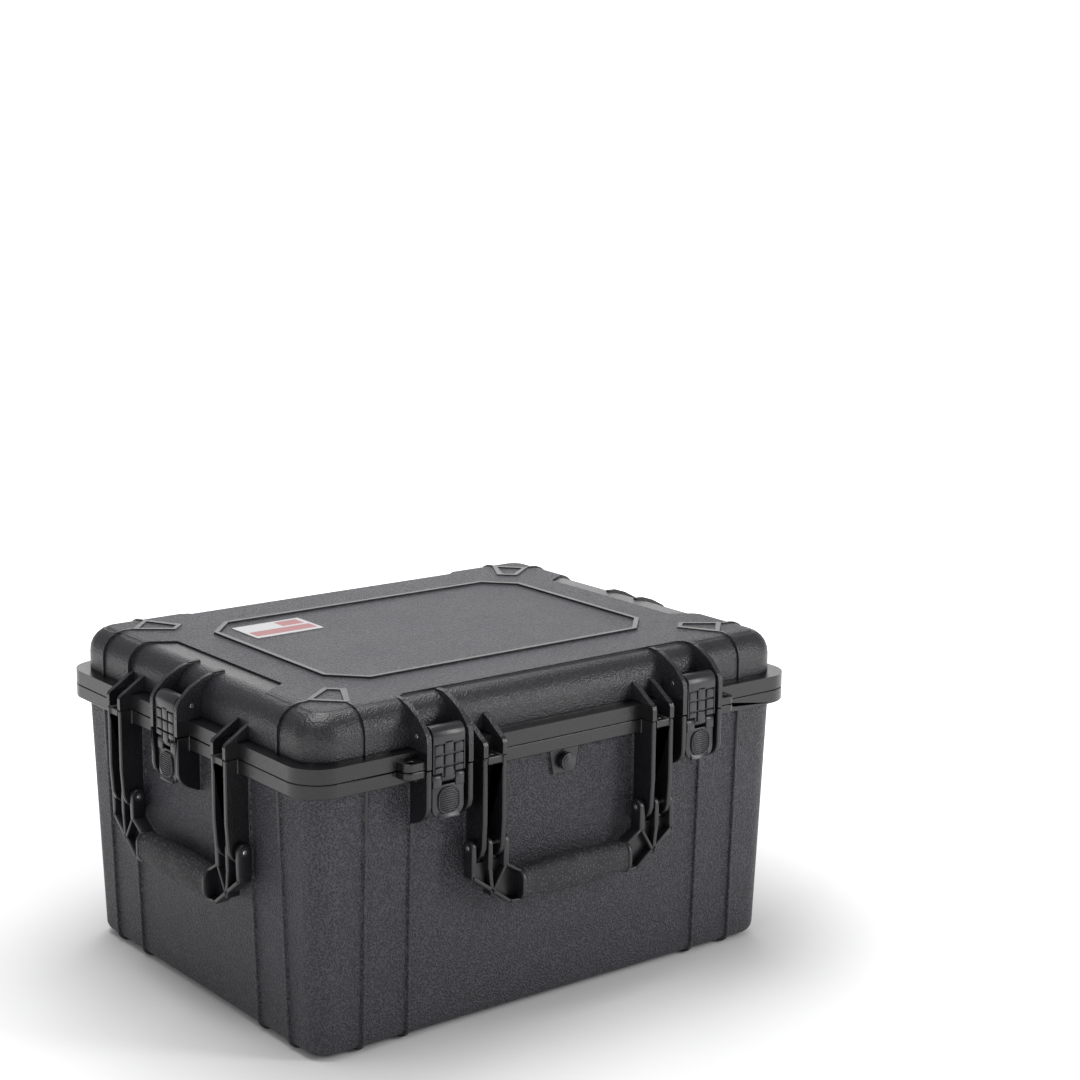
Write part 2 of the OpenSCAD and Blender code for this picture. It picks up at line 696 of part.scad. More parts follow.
module handle_grip() color("#1c1d1f") translate([0, handle_pin_in, grip_z]) difference() {
  union() {
    translate([-grip_l / 2 + 2, 0, 0]) grip_section(grip_d, grip_h, grip_l - 4);
    both_x() translate([grip_l / 2 - 8, 0, 0]) grip_section(grip_d + 1.4, grip_h + 1.4, 3);
  }
  rod(9.02, -grip_l, grip_l);
  both_x() translate([grip_l / 2 - 2.2, -30, -30]) cube([10, 60, 60]);
}
module grip_section(d, h, l) {
  rotate([90, 0, 90]) linear_extrude(l) union() {
    square([d, h - d], center = true);
    for (s = [-1, 1]) translate([0, s * (h - d) / 2]) circle(d / 2);
  }
}
module handle_pins() color("#c9cbcd") both_x()
  translate([0, handle_pin_in, handle_pin_z]) rod(handle_pin_r, prong_in + 0.3, prong_out - 0.3);

module front_handle_frame() { on_front() handle_frame(); }
module front_handle_grip() { on_front() handle_grip(); }
module front_handle_pins() { on_front() handle_pins(); }
module left_handle_frame() { on_left() handle_frame(); }
module left_handle_grip() { on_left() handle_grip(); }
module left_handle_pins() { on_left() handle_pins(); }
module right_handle_frame() { on_right() handle_frame(); }
module right_handle_grip() { on_right() handle_grip(); }
module right_handle_pins() { on_right() handle_pins(); }

base_shell();
base_padlock_lugs();
lid_shell();
lid_padlock_lugs();
lid_gasket();
label_plate();
lid_foam();
foam_bottom_pad();
foam_lower_layer();
foam_upper_layer();
hinge_pin_left();
hinge_pin_right();
vent_body();
vent_seal();
vent_nut();
vent_knob();
front_left_latch_link();
front_left_latch_lever();
front_left_latch_pin();
front_left_lever_pin();
front_right_latch_link();
front_right_latch_lever();
front_right_latch_pin();
front_right_lever_pin();
left_latch_link();
left_latch_lever();
left_latch_pin();
left_lever_pin();
right_latch_link();
right_latch_lever();
right_latch_pin();
right_lever_pin();
front_handle_frame();
front_handle_grip();
front_handle_pins();
left_handle_frame();
left_handle_grip();
left_handle_pins();
right_handle_frame();
right_handle_grip();
right_handle_pins();
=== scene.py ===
"""Looks of a hard equipment case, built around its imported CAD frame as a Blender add-on."""

import json
import math

import bmesh
import bpy
from bpy.props import FloatProperty, FloatVectorProperty, IntProperty, PointerProperty
from mathutils import Euler, Matrix, Vector, noise


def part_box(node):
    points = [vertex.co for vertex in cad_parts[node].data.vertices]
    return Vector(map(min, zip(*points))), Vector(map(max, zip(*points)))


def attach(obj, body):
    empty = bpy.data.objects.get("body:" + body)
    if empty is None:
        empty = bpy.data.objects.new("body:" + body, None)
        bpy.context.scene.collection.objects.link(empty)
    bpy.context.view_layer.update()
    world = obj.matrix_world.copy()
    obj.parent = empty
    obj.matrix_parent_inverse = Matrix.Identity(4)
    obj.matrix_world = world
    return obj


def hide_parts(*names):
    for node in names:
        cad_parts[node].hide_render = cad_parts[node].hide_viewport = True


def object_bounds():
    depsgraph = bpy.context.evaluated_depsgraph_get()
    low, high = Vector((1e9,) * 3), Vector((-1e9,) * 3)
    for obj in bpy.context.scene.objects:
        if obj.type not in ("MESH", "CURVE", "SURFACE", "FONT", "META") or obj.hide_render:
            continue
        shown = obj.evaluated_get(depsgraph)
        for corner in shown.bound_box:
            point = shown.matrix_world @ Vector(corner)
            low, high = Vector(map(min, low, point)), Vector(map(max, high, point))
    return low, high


bl_info = {
    "name": "Equipment case looks",
    "version": (1, 0, 0),
    "blender": (4, 5, 0),
    "location": "3D View > Sidebar > Case",
    "description": "Gives a hard equipment case its finished pieces, materials, stage and light",
    "category": "Add Mesh",
}

MM = 0.001
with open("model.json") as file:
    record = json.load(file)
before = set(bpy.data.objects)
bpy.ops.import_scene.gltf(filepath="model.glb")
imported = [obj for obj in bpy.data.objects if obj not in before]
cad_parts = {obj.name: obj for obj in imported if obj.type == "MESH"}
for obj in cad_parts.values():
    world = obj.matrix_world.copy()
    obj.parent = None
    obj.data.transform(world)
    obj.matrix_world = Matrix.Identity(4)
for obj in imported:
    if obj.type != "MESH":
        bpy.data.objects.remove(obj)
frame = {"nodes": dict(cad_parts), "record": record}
CAD_BOX = [list(corner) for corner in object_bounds()]
NODES = frame["nodes"]
SIDES = ("front_left", "front_right", "left", "right")
HANDLES = ("front", "left", "right")

# How far each shell's rim stands off the parting plane, and the lid's share of the edge rounding
BASE_GAP = 0.2 * MM
LID_GAP = 0.8 * MM
LID_ROUND_SHARE = 0.7

# Half the width of a latch's link and lever
LATCH_HALF = 19 * MM

# The raised pads on a link, as columns of (height above the foot, tall) in mm
OUTER_PADS = ((0.2, 5.4), (7.2, 10.0), (18.8, 9.0))
MIDDLE_PADS = ((-5.0, 10.2), (6.9, 10.2))

# Radii of the foams' upright corners, and how much the base's foams narrow per unit of height
LID_FOAM_CORNER = 29 * MM
BASE_FOAM_CORNER = 27 * MM
BASE_FOAM_LEAN = 0.033

# The ribs round the edge of the valve's knob
KNOB_RIBS = 20

# Strengths of the back and left softboxes, as shares of the top and front ones
BACK_LIGHT_SHARE = 0.5
LEFT_LIGHT_SHARE = 0.16

# Where the camera stands in metres, and its azimuth, elevation and roll in degrees
CAMERA_PLACE = (-1.3839, -1.9671, 0.9423)
CAMERA_TURN = (-37.977, 11.594, 0.497)


def node_box(name):
    """Lowest and highest corner of a CAD node."""
    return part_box(name)


def node_middle(name):
    """Middle of a CAD node's box."""
    low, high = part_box(name)
    return (low + high) / 2


# ---------------------------------------------------------------- properties


def distance(name, description, default, low, high):
    """A length that the panel shows."""
    return FloatProperty(name=name, description=description, subtype="DISTANCE", unit="LENGTH",
                         default=default, min=low, max=high)


def tint(name, description, default):
    """A colour that the panel shows."""
    return FloatVectorProperty(name=name, description=description, subtype="COLOR", size=3,
                               min=0, max=1, default=default)


class CaseShellLooks(bpy.types.PropertyGroup):
    """Colour and surface of the moulded shells."""

    plastic: tint(
        "Plastic colour", "Colour of the moulded plastic",
        (0.0068, 0.0065, 0.0080),
    )
    satin_roughness: FloatProperty(
        name="Satin roughness", description="Roughness of the smooth edges and ribs",
        default=0.30, min=0, max=1,
    )
    grain_roughness: FloatProperty(
        name="Grain roughness", description="Roughness of the grained walls",
        default=0.50, min=0, max=1,
    )
    grain_size: distance(
        "Grain size", "Width of one pebble of the moulded grain",
        1.9 * MM, 0.3 * MM, 5 * MM,
    )
    edge_round: distance(
        "Edge rounding", "Width of the rounding on every moulded edge",
        1.2 * MM, 0.1 * MM, 2 * MM,
    )


class CaseFoamLooks(bpy.types.PropertyGroup):
    """Shape and colour of the foams."""

    colour: tint(
        "Foam colour", "Colour of the foam",
        (0.105, 0.103, 0.106),
    )
    pitch: distance(
        "Dimple pitch", "Distance between the lid foam's peaks along a row",
        50 * MM, 20 * MM, 90 * MM,
    )
    depth: distance(
        "Dimple depth", "Depth of the lid foam's dimples below its peaks",
        18 * MM, 4 * MM, 25 * MM,
    )
    edge_round: distance(
        "Foam edge rounding", "Rounding of the base foam's edges",
        4 * MM, 1 * MM, 10 * MM,
    )


class CaseGripLooks(bpy.types.PropertyGroup):
    """Shape and colour of the rubber grips."""

    colour: tint(
        "Rubber colour", "Colour of the rubber grips",
        (0.014, 0.014, 0.016),
    )
    fingers: IntProperty(
        name="Finger grooves", description="Number of finger grooves under a grip",
        default=4, min=0, max=6,
    )
    groove: distance(
        "Groove depth", "Depth of each finger groove",
        2.2 * MM, 0, 5 * MM,
    )


class CaseStageLooks(bpy.types.PropertyGroup):
    """Floor, light and camera."""

    floor: tint(
        "Floor colour", "Colour of the floor and backdrop",
        (0.93, 0.93, 0.93),
    )
    sky: FloatProperty(
        name="Room light", description="Strength of the light from all round",
        default=0.36, min=0, max=5,
    )
    top_light: FloatProperty(
        name="Top light", description="Power of the large light overhead",
        subtype="POWER", unit="POWER", default=24, min=0, max=1000,
    )
    front_light: FloatProperty(
        name="Front light", description="Power of the large light before the front wall",
        subtype="POWER", unit="POWER", default=20, min=0, max=1000,
    )
    lens: FloatProperty(
        name="Lens", description="Focal length of the camera on a 36 mm sensor, in millimetres",
        default=75.35, min=20, max=300,
    )


# ---------------------------------------------------------------- shader tools


def node_tree(material):
    """An emptied node tree of a material, with its shader and output."""
    material.use_nodes = True
    tree = material.node_tree
    tree.nodes.clear()
    out = tree.nodes.new("ShaderNodeOutputMaterial")
    shader = tree.nodes.new("ShaderNodeBsdfPrincipled")
    tree.links.new(shader.outputs["BSDF"], out.inputs["Surface"])
    return tree, shader


def math_node(tree, operation, *values):
    """A Math node whose inputs are sockets or numbers. Returns its output."""
    node = tree.nodes.new("ShaderNodeMath")
    node.operation = operation
    for socket, value in zip(node.inputs, values):
        if isinstance(value, (int, float)):
            socket.default_value = value
        else:
            tree.links.new(value, socket)
    return node.outputs[0]


def fade(tree, value, low, high, to_low=0.0, to_high=1.0):
    """A smooth step of a socket's value between two values."""
    node = tree.nodes.new("ShaderNodeMapRange")
    node.interpolation_type = "SMOOTHSTEP"
    tree.links.new(value, node.inputs["Value"])
    for name, number in (
        ("From Min", low), ("From Max", high), ("To Min", to_low), ("To Max", to_high),
    ):
        node.inputs[name].default_value = number
    return node.outputs["Result"]


def object_coordinates(tree, scale=(1, 1, 1)):
    """Object coordinates, scaled."""
    coords = tree.nodes.new("ShaderNodeTexCoord")
    mapping = tree.nodes.new("ShaderNodeMapping")
    mapping.inputs["Scale"].default_value = scale
    tree.links.new(coords.outputs["Object"], mapping.inputs["Vector"])
    return mapping.outputs["Vector"]


def noise_texture(tree, vector, scale, detail=2.0, rough=0.5):
    """A noise texture's value at a scale given as a number or a socket."""
    node = tree.nodes.new("ShaderNodeTexNoise")
    tree.links.new(vector, node.inputs["Vector"])
    if isinstance(scale, (int, float)):
        node.inputs["Scale"].default_value = scale
    else:
        tree.links.new(scale, node.inputs["Scale"])
    node.inputs["Detail"].default_value = detail
    node.inputs["Roughness"].default_value = rough
    return node.outputs["Fac"]


def mix_colour(tree, factor, first, second):
    """A colour between two colours, by a factor socket."""
    node = tree.nodes.new("ShaderNodeMix")
    node.data_type = "RGBA"
    tree.links.new(factor, node.inputs["Factor"])
    for name, colour in (("A", first), ("B", second)):
        socket = next(s for s in node.inputs if s.name == name and s.type == "RGBA")
        if isinstance(colour, bpy.types.NodeSocket):
            tree.links.new(colour, socket)
        else:
            socket.default_value = (*colour, 1)
    return next(s for s in node.outputs if s.type == "RGBA")


def bump(tree, shader, height, strength, distance):
    """Feeds a height into a shader's normal."""
    node = tree.nodes.new("ShaderNodeBump")
    node.inputs["Strength"].default_value = strength
    node.inputs["Distance"].default_value = distance
    tree.links.new(height, node.inputs["Height"])
    tree.links.new(node.outputs["Normal"], shader.inputs["Normal"])


def new_group(name, inputs, outputs):
    """An empty shader node group with named float inputs and outputs."""
    group = bpy.data.node_groups.new(name, "ShaderNodeTree")
    for label, default in inputs:
        socket = group.interface.new_socket(label, in_out="INPUT", socket_type="NodeSocketFloat")
        socket.default_value = default
    for label in outputs:
        group.interface.new_socket(label, in_out="OUTPUT", socket_type="NodeSocketFloat")
    return group, group.nodes.new("NodeGroupInput"), group.nodes.new("NodeGroupOutput")


def use_group(tree, group, **values):
    """A group placed in a material, with values or sockets for its inputs."""
    node = tree.nodes.new("ShaderNodeGroup")
    node.node_tree = group
    for name, value in values.items():
        socket = node.inputs[name.replace("_", " ")]
        if isinstance(value, (int, float)):
            socket.default_value = value
        else:
            tree.links.new(value, socket)
    return node


def make_grain_group():
    """Moulded pebble grain: a height, and a mottle for colour and roughness."""
    group, given, result = new_group(
        "pebble_grain", [("Scale", 650.0), ("Mottle Scale", 16.0)], ["Height", "Mottle"]
    )
    vector = object_coordinates(group)
    pebbles = group.nodes.new("ShaderNodeTexVoronoi")
    pebbles.feature = "SMOOTH_F1"
    pebbles.inputs["Smoothness"].default_value = 0.6
    group.links.new(vector, pebbles.inputs["Vector"])
    group.links.new(given.outputs["Scale"], pebbles.inputs["Scale"])
    fine = noise_texture(group, vector, math_node(group, "MULTIPLY", given.outputs["Scale"], 1.7))
    height = math_node(group, "MULTIPLY_ADD", fine, 0.6, pebbles.outputs["Distance"])
    group.links.new(height, result.inputs["Height"])
    mottle = noise_texture(group, vector, given.outputs["Mottle Scale"], 4.0, 0.6)
    group.links.new(mottle, result.inputs["Mottle"])


def make_scuff_group():
    """Fine scuffs and dust that gather in streaks, as a mask."""
    group, given, result = new_group(
        "scuffs", [("Scale", 90.0), ("Amount", 0.5)], ["Mask"]
    )
    streaks = noise_texture(group, object_coordinates(group, (1, 1, 5)), given.outputs["Scale"], 6.0, 0.7)
    patches = noise_texture(group, object_coordinates(group), 9.0, 3.0, 0.6)
    both = math_node(group, "MULTIPLY", fade(group, streaks, 0.56, 0.75), fade(group, patches, 0.42, 0.7))
    group.links.new(math_node(group, "MULTIPLY", both, given.outputs["Amount"]), result.inputs["Mask"])


# ---------------------------------------------------------------- materials


def shell_material(name, looks, grained):
    """Moulded shell plastic. grained(tree, x, y, z) gives the mask of the grained areas."""
    material = bpy.data.materials.new(name)
    tree, shader = node_tree(material)
    split = tree.nodes.new("ShaderNodeSeparateXYZ")
    tree.links.new(object_coordinates(tree), split.inputs[0])
    mask = grained(tree, *split.outputs)
    grain = use_group(tree, bpy.data.node_groups["pebble_grain"], Scale=1 / looks.grain_size)
    scuffs = use_group(tree, bpy.data.node_groups["scuffs"], Scale=70.0, Amount=0.5)
    dark = tuple(c * 0.8 for c in looks.plastic)
    # light is the colour of the painted glints on the grain's peaks.
    light = tuple(c * 7.5 for c in looks.plastic)
    tone = mix_colour(tree, fade(tree, grain.outputs["Mottle"], 0.3, 0.7), dark, looks.plastic)
    tone = mix_colour(tree, mask, tone, tuple(c * 1.7 for c in looks.plastic))
    # The grain's peaks are painted in the light colour: painted glints where the pebbles catch the light.
    painted_glint = math_node(tree, "MULTIPLY", mask, fade(tree, grain.outputs["Height"], 0.55, 0.95))
    tone = mix_colour(tree, painted_glint, tone, light)
    tone = mix_colour(tree, scuffs.outputs["Mask"], tone, tuple(c * 2.0 for c in looks.plastic))
    tree.links.new(tone, shader.inputs["Base Color"])
    rough = fade(tree, mask, 0, 1, looks.satin_roughness, looks.grain_roughness)
    rough = math_node(tree, "MULTIPLY_ADD", grain.outputs["Mottle"], 0.12, rough)
    rough = math_node(tree, "SUBTRACT", rough, 0.06)
    tree.links.new(rough, shader.inputs["Roughness"])
    shader.inputs["IOR"].default_value = 1.5
    height = math_node(tree, "MULTIPLY", grain.outputs["Height"], fade(tree, mask, 0, 1, 0.12, 1.0))
    bump(tree, shader, height, 1.0, 1.5 * MM)


def base_grain(tree, x, y, z):
    """Grain on the base walls, none on the rim, the ribs' edges and what stands out from the walls."""
    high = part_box("foam_upper_layer")[1]
    beside = math_node(
        tree, "MAXIMUM",
        math_node(tree, "SUBTRACT", math_node(tree, "ABSOLUTE", x), high.x + 5.5 * MM),
        math_node(tree, "SUBTRACT", math_node(tree, "ABSOLUTE", y), high.y + 5.5 * MM),
    )
    flat = fade(tree, beside, 1.2 * MM, 0, 0, 1)
    below = fade(tree, z, high.z + 7 * MM, high.z + 5 * MM, 0, 1)
    return math_node(tree, "MULTIPLY", flat, below)


def lid_grain(tree, x, y, z):
    """Grain on the lid's top and its recessed sides, none on the rim and the raised lines."""
    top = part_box("lid_shell")[1].z
    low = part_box("lid_gasket")[1].z
    on_top = math_node(
        tree, "MULTIPLY",
        fade(tree, z, top - 3.6 * MM, top - 3.1 * MM),
        fade(tree, z, top - 2.3 * MM, top - 2.0 * MM, 1, 0),
    )
    sides = math_node(
        tree, "MULTIPLY",
        fade(tree, z, low + 9 * MM, low + 11 * MM),
        fade(tree, z, top - 5 * MM, top - 4 * MM, 1, 0),
    )
    return math_node(tree, "MAXIMUM", on_top, math_node(tree, "MULTIPLY", sides, 0.3))


def satin_material(name, colour, roughness, grain_scale=900.0, grain=0.1):
    """Smooth moulded plastic with a faint texture and scuffs."""
    material = bpy.data.materials.new(name)
    tree, shader = node_tree(material)
    texture = use_group(tree, bpy.data.node_groups["pebble_grain"], Scale=grain_scale)
    scuffs = use_group(tree, bpy.data.node_groups["scuffs"], Scale=120.0, Amount=0.5)
    tone = mix_colour(tree, texture.outputs["Mottle"], tuple(c * 0.8 for c in colour), colour)
    tone = mix_colour(tree, scuffs.outputs["Mask"], tone, tuple(c * 2.2 for c in colour))
    tree.links.new(tone, shader.inputs["Base Color"])
    rough = math_node(tree, "MULTIPLY_ADD", texture.outputs["Mottle"], 0.16, roughness - 0.08)
    tree.links.new(rough, shader.inputs["Roughness"])
    bump(tree, shader, texture.outputs["Height"], grain, 0.2 * MM)


def rubber_material(name, colour, scale, strength):
    """Matte rubber with a fine moulded stipple."""
    material = bpy.data.materials.new(name)
    tree, shader = node_tree(material)
    vector = object_coordinates(tree)
    stipple = tree.nodes.new("ShaderNodeTexVoronoi")
    tree.links.new(vector, stipple.inputs["Vector"])
    stipple.inputs["Scale"].default_value = scale
    stipple.inputs["Randomness"].default_value = 0.8
    dots = fade(tree, stipple.outputs["Distance"], 0.15, 0.5, 1, 0)
    mottle = noise_texture(tree, vector, 30.0, 4.0)
    tone = mix_colour(tree, mottle, tuple(c * 0.8 for c in colour), tuple(c * 1.1 for c in colour))
    # The raised dots are painted lighter: a painted highlight on their tops.
    raised = math_node(tree, "MULTIPLY", dots, strength)
    tone = mix_colour(tree, raised, tone, tuple(c * 4.5 for c in colour))
    tree.links.new(tone, shader.inputs["Base Color"])
    tree.links.new(fade(tree, mottle, 0.3, 0.7, 0.62, 0.74), shader.inputs["Roughness"])
    bump(tree, shader, dots, strength, 0.7 * MM)


def foam_material(name, colour):
    """Open-cell foam: speckled colour, tiny pits and no shine."""
    material = bpy.data.materials.new(name)
    tree, shader = node_tree(material)
    vector = object_coordinates(tree)
    cells = tree.nodes.new("ShaderNodeTexVoronoi")
    tree.links.new(vector, cells.inputs["Vector"])
    cells.inputs["Scale"].default_value = 520.0
    fine = noise_texture(tree, vector, 900.0, 3.0, 0.7)
    broad = noise_texture(tree, vector, 14.0, 4.0, 0.6)
    pits = fade(tree, cells.outputs["Distance"], 0.1, 0.75, 0, 1)
    # The foam is darker where it is low: painted shade in the cell pits, over a random speckle.
    mixed = math_node(tree, "MULTIPLY_ADD", fine, 0.6, math_node(tree, "MULTIPLY", pits, 0.4))
    tone = mix_colour(tree, fade(tree, mixed, 0.25, 0.75), tuple(c * 0.62 for c in colour),
                      tuple(c * 1.3 for c in colour))
    tone = mix_colour(tree, fade(tree, broad, 0.35, 0.75, 0, 0.3), tone, tuple(c * 0.8 for c in colour))
    tree.links.new(tone, shader.inputs["Base Color"])
    shader.inputs["Roughness"].default_value = 0.95
    shader.inputs["Specular IOR Level"].default_value = 0.15
    bump(tree, shader, mixed, 0.5, 0.8 * MM)


def steel_material():
    """Turned stainless steel with fine rings."""
    material = bpy.data.materials.new("stainless_steel")
    tree, shader = node_tree(material)
    streaks = noise_texture(tree, object_coordinates(tree, (1, 40, 40)), 60.0, 4.0, 0.6)
    tree.links.new(mix_colour(tree, streaks, (0.72, 0.72, 0.73), (0.86, 0.86, 0.87)),
                   shader.inputs["Base Color"])
    tree.links.new(fade(tree, streaks, 0.3, 0.7, 0.22, 0.38), shader.inputs["Roughness"])
    shader.inputs["Metallic"].default_value = 1.0


def label_material():
    """A silver plate with a plain red band and a smaller red patch, with no lettering."""
    low, high = node_box("label_plate")
    middle = (low + high) / 2
    material = bpy.data.materials.new("label_print")
    tree, shader = node_tree(material)
    vector = object_coordinates(tree)
    split = tree.nodes.new("ShaderNodeSeparateXYZ")
    tree.links.new(vector, split.inputs[0])
    x, y = split.outputs[0], split.outputs[1]
    edge = 0.15 * MM
    silver = noise_texture(tree, object_coordinates(tree, (4, 300, 4)), 30.0, 3.0)
    tone = mix_colour(tree, silver, (0.34, 0.34, 0.35), (0.46, 0.46, 0.47))
    band = math_node(tree, "MULTIPLY", fade(tree, y, middle.y - 21 * MM, middle.y - 21 * MM + edge),
                     fade(tree, y, middle.y - 2 * MM, middle.y - 2 * MM + edge, 1, 0))
    inside = math_node(tree, "MULTIPLY", fade(tree, x, low.x + 4 * MM, low.x + 4 * MM + edge),
                       fade(tree, x, high.x - 4 * MM, high.x - 4 * MM + edge, 1, 0))
    tone = mix_colour(tree, math_node(tree, "MULTIPLY", band, inside), tone, (0.26, 0.06, 0.065))
    block = math_node(tree, "MULTIPLY", fade(tree, y, middle.y + 3 * MM, middle.y + 3 * MM + edge),
                      fade(tree, y, high.y - 5 * MM, high.y - 5 * MM + edge, 1, 0))
    corner = math_node(tree, "MULTIPLY", fade(tree, x, middle.x + 8 * MM, middle.x + 8 * MM + edge),
                       fade(tree, x, high.x - 6 * MM, high.x - 6 * MM + edge, 1, 0))
    tone = mix_colour(tree, math_node(tree, "MULTIPLY", block, corner), tone, (0.26, 0.06, 0.065))
    tree.links.new(tone, shader.inputs["Base Color"])
    shader.inputs["Metallic"].default_value = 0.35
    tree.links.new(fade(tree, silver, 0.3, 0.7, 0.32, 0.42), shader.inputs["Roughness"])


# ---------------------------------------------------------------- mesh tools


def finish_piece(bm, name, body, replaced, material, smooth_angle=35.0):
    """Makes a bmesh an object that rides on a body and stands for its CAD nodes."""
    mesh = bpy.data.meshes.new(name)
    bm.normal_update()
    bm.to_mesh(mesh)
    bm.free()
    mesh.materials.append(bpy.data.materials[material])
    mesh.polygons.foreach_set("use_smooth", [True] * len(mesh.polygons))
    mesh.set_sharp_from_angle(angle=math.radians(smooth_angle))
    piece = bpy.data.objects.new(name, mesh)
    bpy.context.scene.collection.objects.link(piece)
    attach(piece, body)
    if replaced:
        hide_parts(*replaced)
    return piece


def open_parting(bm, plane, gap, upward):
    """Moves the rim's outer corner off the parting plane, up or down, to show a thin dark line."""
    half_x, half_y = node_box("lid_gasket")[1].x, node_box("lid_gasket")[1].y
    for vert in bm.verts:
        outside = abs(vert.co.x) > half_x + 4 * MM or vert.co.y < -half_y - 4 * MM
        if outside and vert.co.y < half_y and abs(vert.co.z - plane) < 0.05 * MM:
            vert.co.z += gap if upward else -gap


def body_of_node(node):
    """The body that a CAD node belongs to."""
    bodies = frame["record"]["behaviour"]["bodies"]
    return next(body for body, members in bodies.items() if node in members)


def rounded_copy(node, material, width, segments=2, angle=28.0, shape=None, clamp=False):
    """A CAD node's shape with merged faces and rounded edges, standing for the node."""
    bm = bmesh.new()
    bm.from_mesh(NODES[node].data)
    bmesh.ops.remove_doubles(bm, verts=bm.verts, dist=0.002 * MM)
    bmesh.ops.dissolve_limit(
        bm, angle_limit=math.radians(0.6), verts=bm.verts, edges=bm.edges, use_dissolve_boundaries=False
    )
    if shape:
        shape(bm)
    piece = finish_piece(bm, node + "_moulded", body_of_node(node), [node], material)
    rounding = piece.modifiers.new("rounding", "BEVEL")
    rounding.width = width
    rounding.segments = segments
    rounding.limit_method = "ANGLE"
    rounding.angle_limit = math.radians(angle)
    rounding.use_clamp_overlap = clamp
    weights = piece.modifiers.new("weights", "WEIGHTED_NORMAL")
    weights.keep_sharp = True
    weights.weight = 80


def verts_of(geometry):
    """The vertices among some mesh elements."""
    return [g for g in geometry if isinstance(g, bmesh.types.BMVert)]


def edges_between(geometry, verts):
    """The edges among some mesh elements whose ends are both in some vertices."""
    return [g for g in geometry if isinstance(g, bmesh.types.BMEdge) and all(v in verts for v in g.verts)]


def soften(bm, faces, width, segments=3):
    """Rounds every crisp edge of some faces."""
    edges = {e for f in faces for e in f.edges if e.calc_face_angle(0) > math.radians(25)}
    bmesh.ops.bevel(bm, geom=list(edges), offset=width, segments=segments, affect="EDGES",
                    profile=0.5, material=-1, clamp_overlap=True)


def add_block(bm, low, high, width=0.4 * MM, segments=2):
    """A box between two corners with softened edges."""
    size = Vector(high) - Vector(low)
    made = bmesh.ops.create_cube(bm, size=1.0)["verts"]
    bmesh.ops.scale(bm, vec=size, verts=made)
    bmesh.ops.translate(bm, vec=(Vector(high) + Vector(low)) / 2, verts=made)
    soften(bm, {f for v in made for f in v.link_faces}, width, segments)


def add_plate(bm, outline, depth, start, axis, width=0.5 * MM, segments=3):
    """An outline of corner points, drawn across an axis, thickened along it and softened.

    An axis of "X" takes points as (y, z), "Y" as (x, z), and "Z" as (x, y).
    """
    place = {"X": lambda a, b: (start, a, b), "Y": lambda a, b: (a, start, b),
             "Z": lambda a, b: (a, b, start)}[axis]
    along = Vector([depth if axis == name else 0 for name in "XYZ"])
    verts = [bm.verts.new(place(*point)) for point in outline]
    face = bmesh.ops.contextual_create(bm, geom=verts)["faces"][0]
    made = bmesh.ops.extrude_face_region(bm, geom=[face])["geom"]
    fresh = verts_of(made)
    bmesh.ops.translate(bm, vec=along, verts=fresh)
    faces = list({f for v in fresh + verts for f in v.link_faces})
    bmesh.ops.recalc_face_normals(bm, faces=faces)
    soften(bm, faces, width, segments)


def add_rod(bm, radius, start, end, segments=28, width=0.4 * MM):
    """A round bar between two points with softened ends."""
    start, end = Vector(start), Vector(end)
    made = bmesh.ops.create_cone(bm, cap_ends=True, segments=segments, radius1=radius,
                                 radius2=radius, depth=(end - start).length)["verts"]
    turn = (end - start).to_track_quat("Z", "Y").to_matrix().to_4x4()
    bmesh.ops.transform(bm, matrix=Matrix.Translation((start + end) / 2) @ turn, verts=made)
    soften(bm, {f for v in made for f in v.link_faces}, width, 2)


def add_bar(bm, start, end, thick, near, deep, width=0.7 * MM):
    """A flat rib between two (x, z) points, standing from a near to a deep distance along Y."""
    start, end = Vector(start), Vector(end)
    side = (end - start).normalized().orthogonal() * thick / 2
    run = (end - start).normalized() * thick / 2
    outline = [start - run + side, start - run - side, end + run - side, end + run + side]
    add_plate(bm, outline, deep - near, near, "Y", width)


def arc(middle, radius, start, end, steps):
    """Points round part of a circle, with its angles in degrees."""
    return [
        (middle[0] + radius * math.cos(math.radians(start + (end - start) * i / steps)),
         middle[1] + radius * math.sin(math.radians(start + (end - start) * i / steps)))
        for i in range(steps + 1)
    ]


def stadium(middle, half_x, half_z, radius, steps=6):
    """A rectangle's outline with round corners."""
    x, z = half_x - radius, half_z - radius
    corners = ((x, z, 0), (-x, z, 90), (-x, -z, 180), (x, -z, 270))
    return [point for dx, dz, angle in corners
            for point in arc((middle[0] + dx, middle[1] + dz), radius, angle, angle + 90, steps)]


def front_place(side, across=0.0):
    """The matrix that takes a piece drawn for the front guard plane to its own side."""
    if side == "left":
        return Matrix.Rotation(math.radians(-90), 4, "Z") @ Matrix.Translation((across, CAD_BOX[0][0], 0))
    if side == "right":
        return Matrix.Rotation(math.radians(90), 4, "Z") @ Matrix.Translation((across, -CAD_BOX[1][0], 0))
    return Matrix.Translation((across, CAD_BOX[0][1], 0))


# ---------------------------------------------------------------- pieces


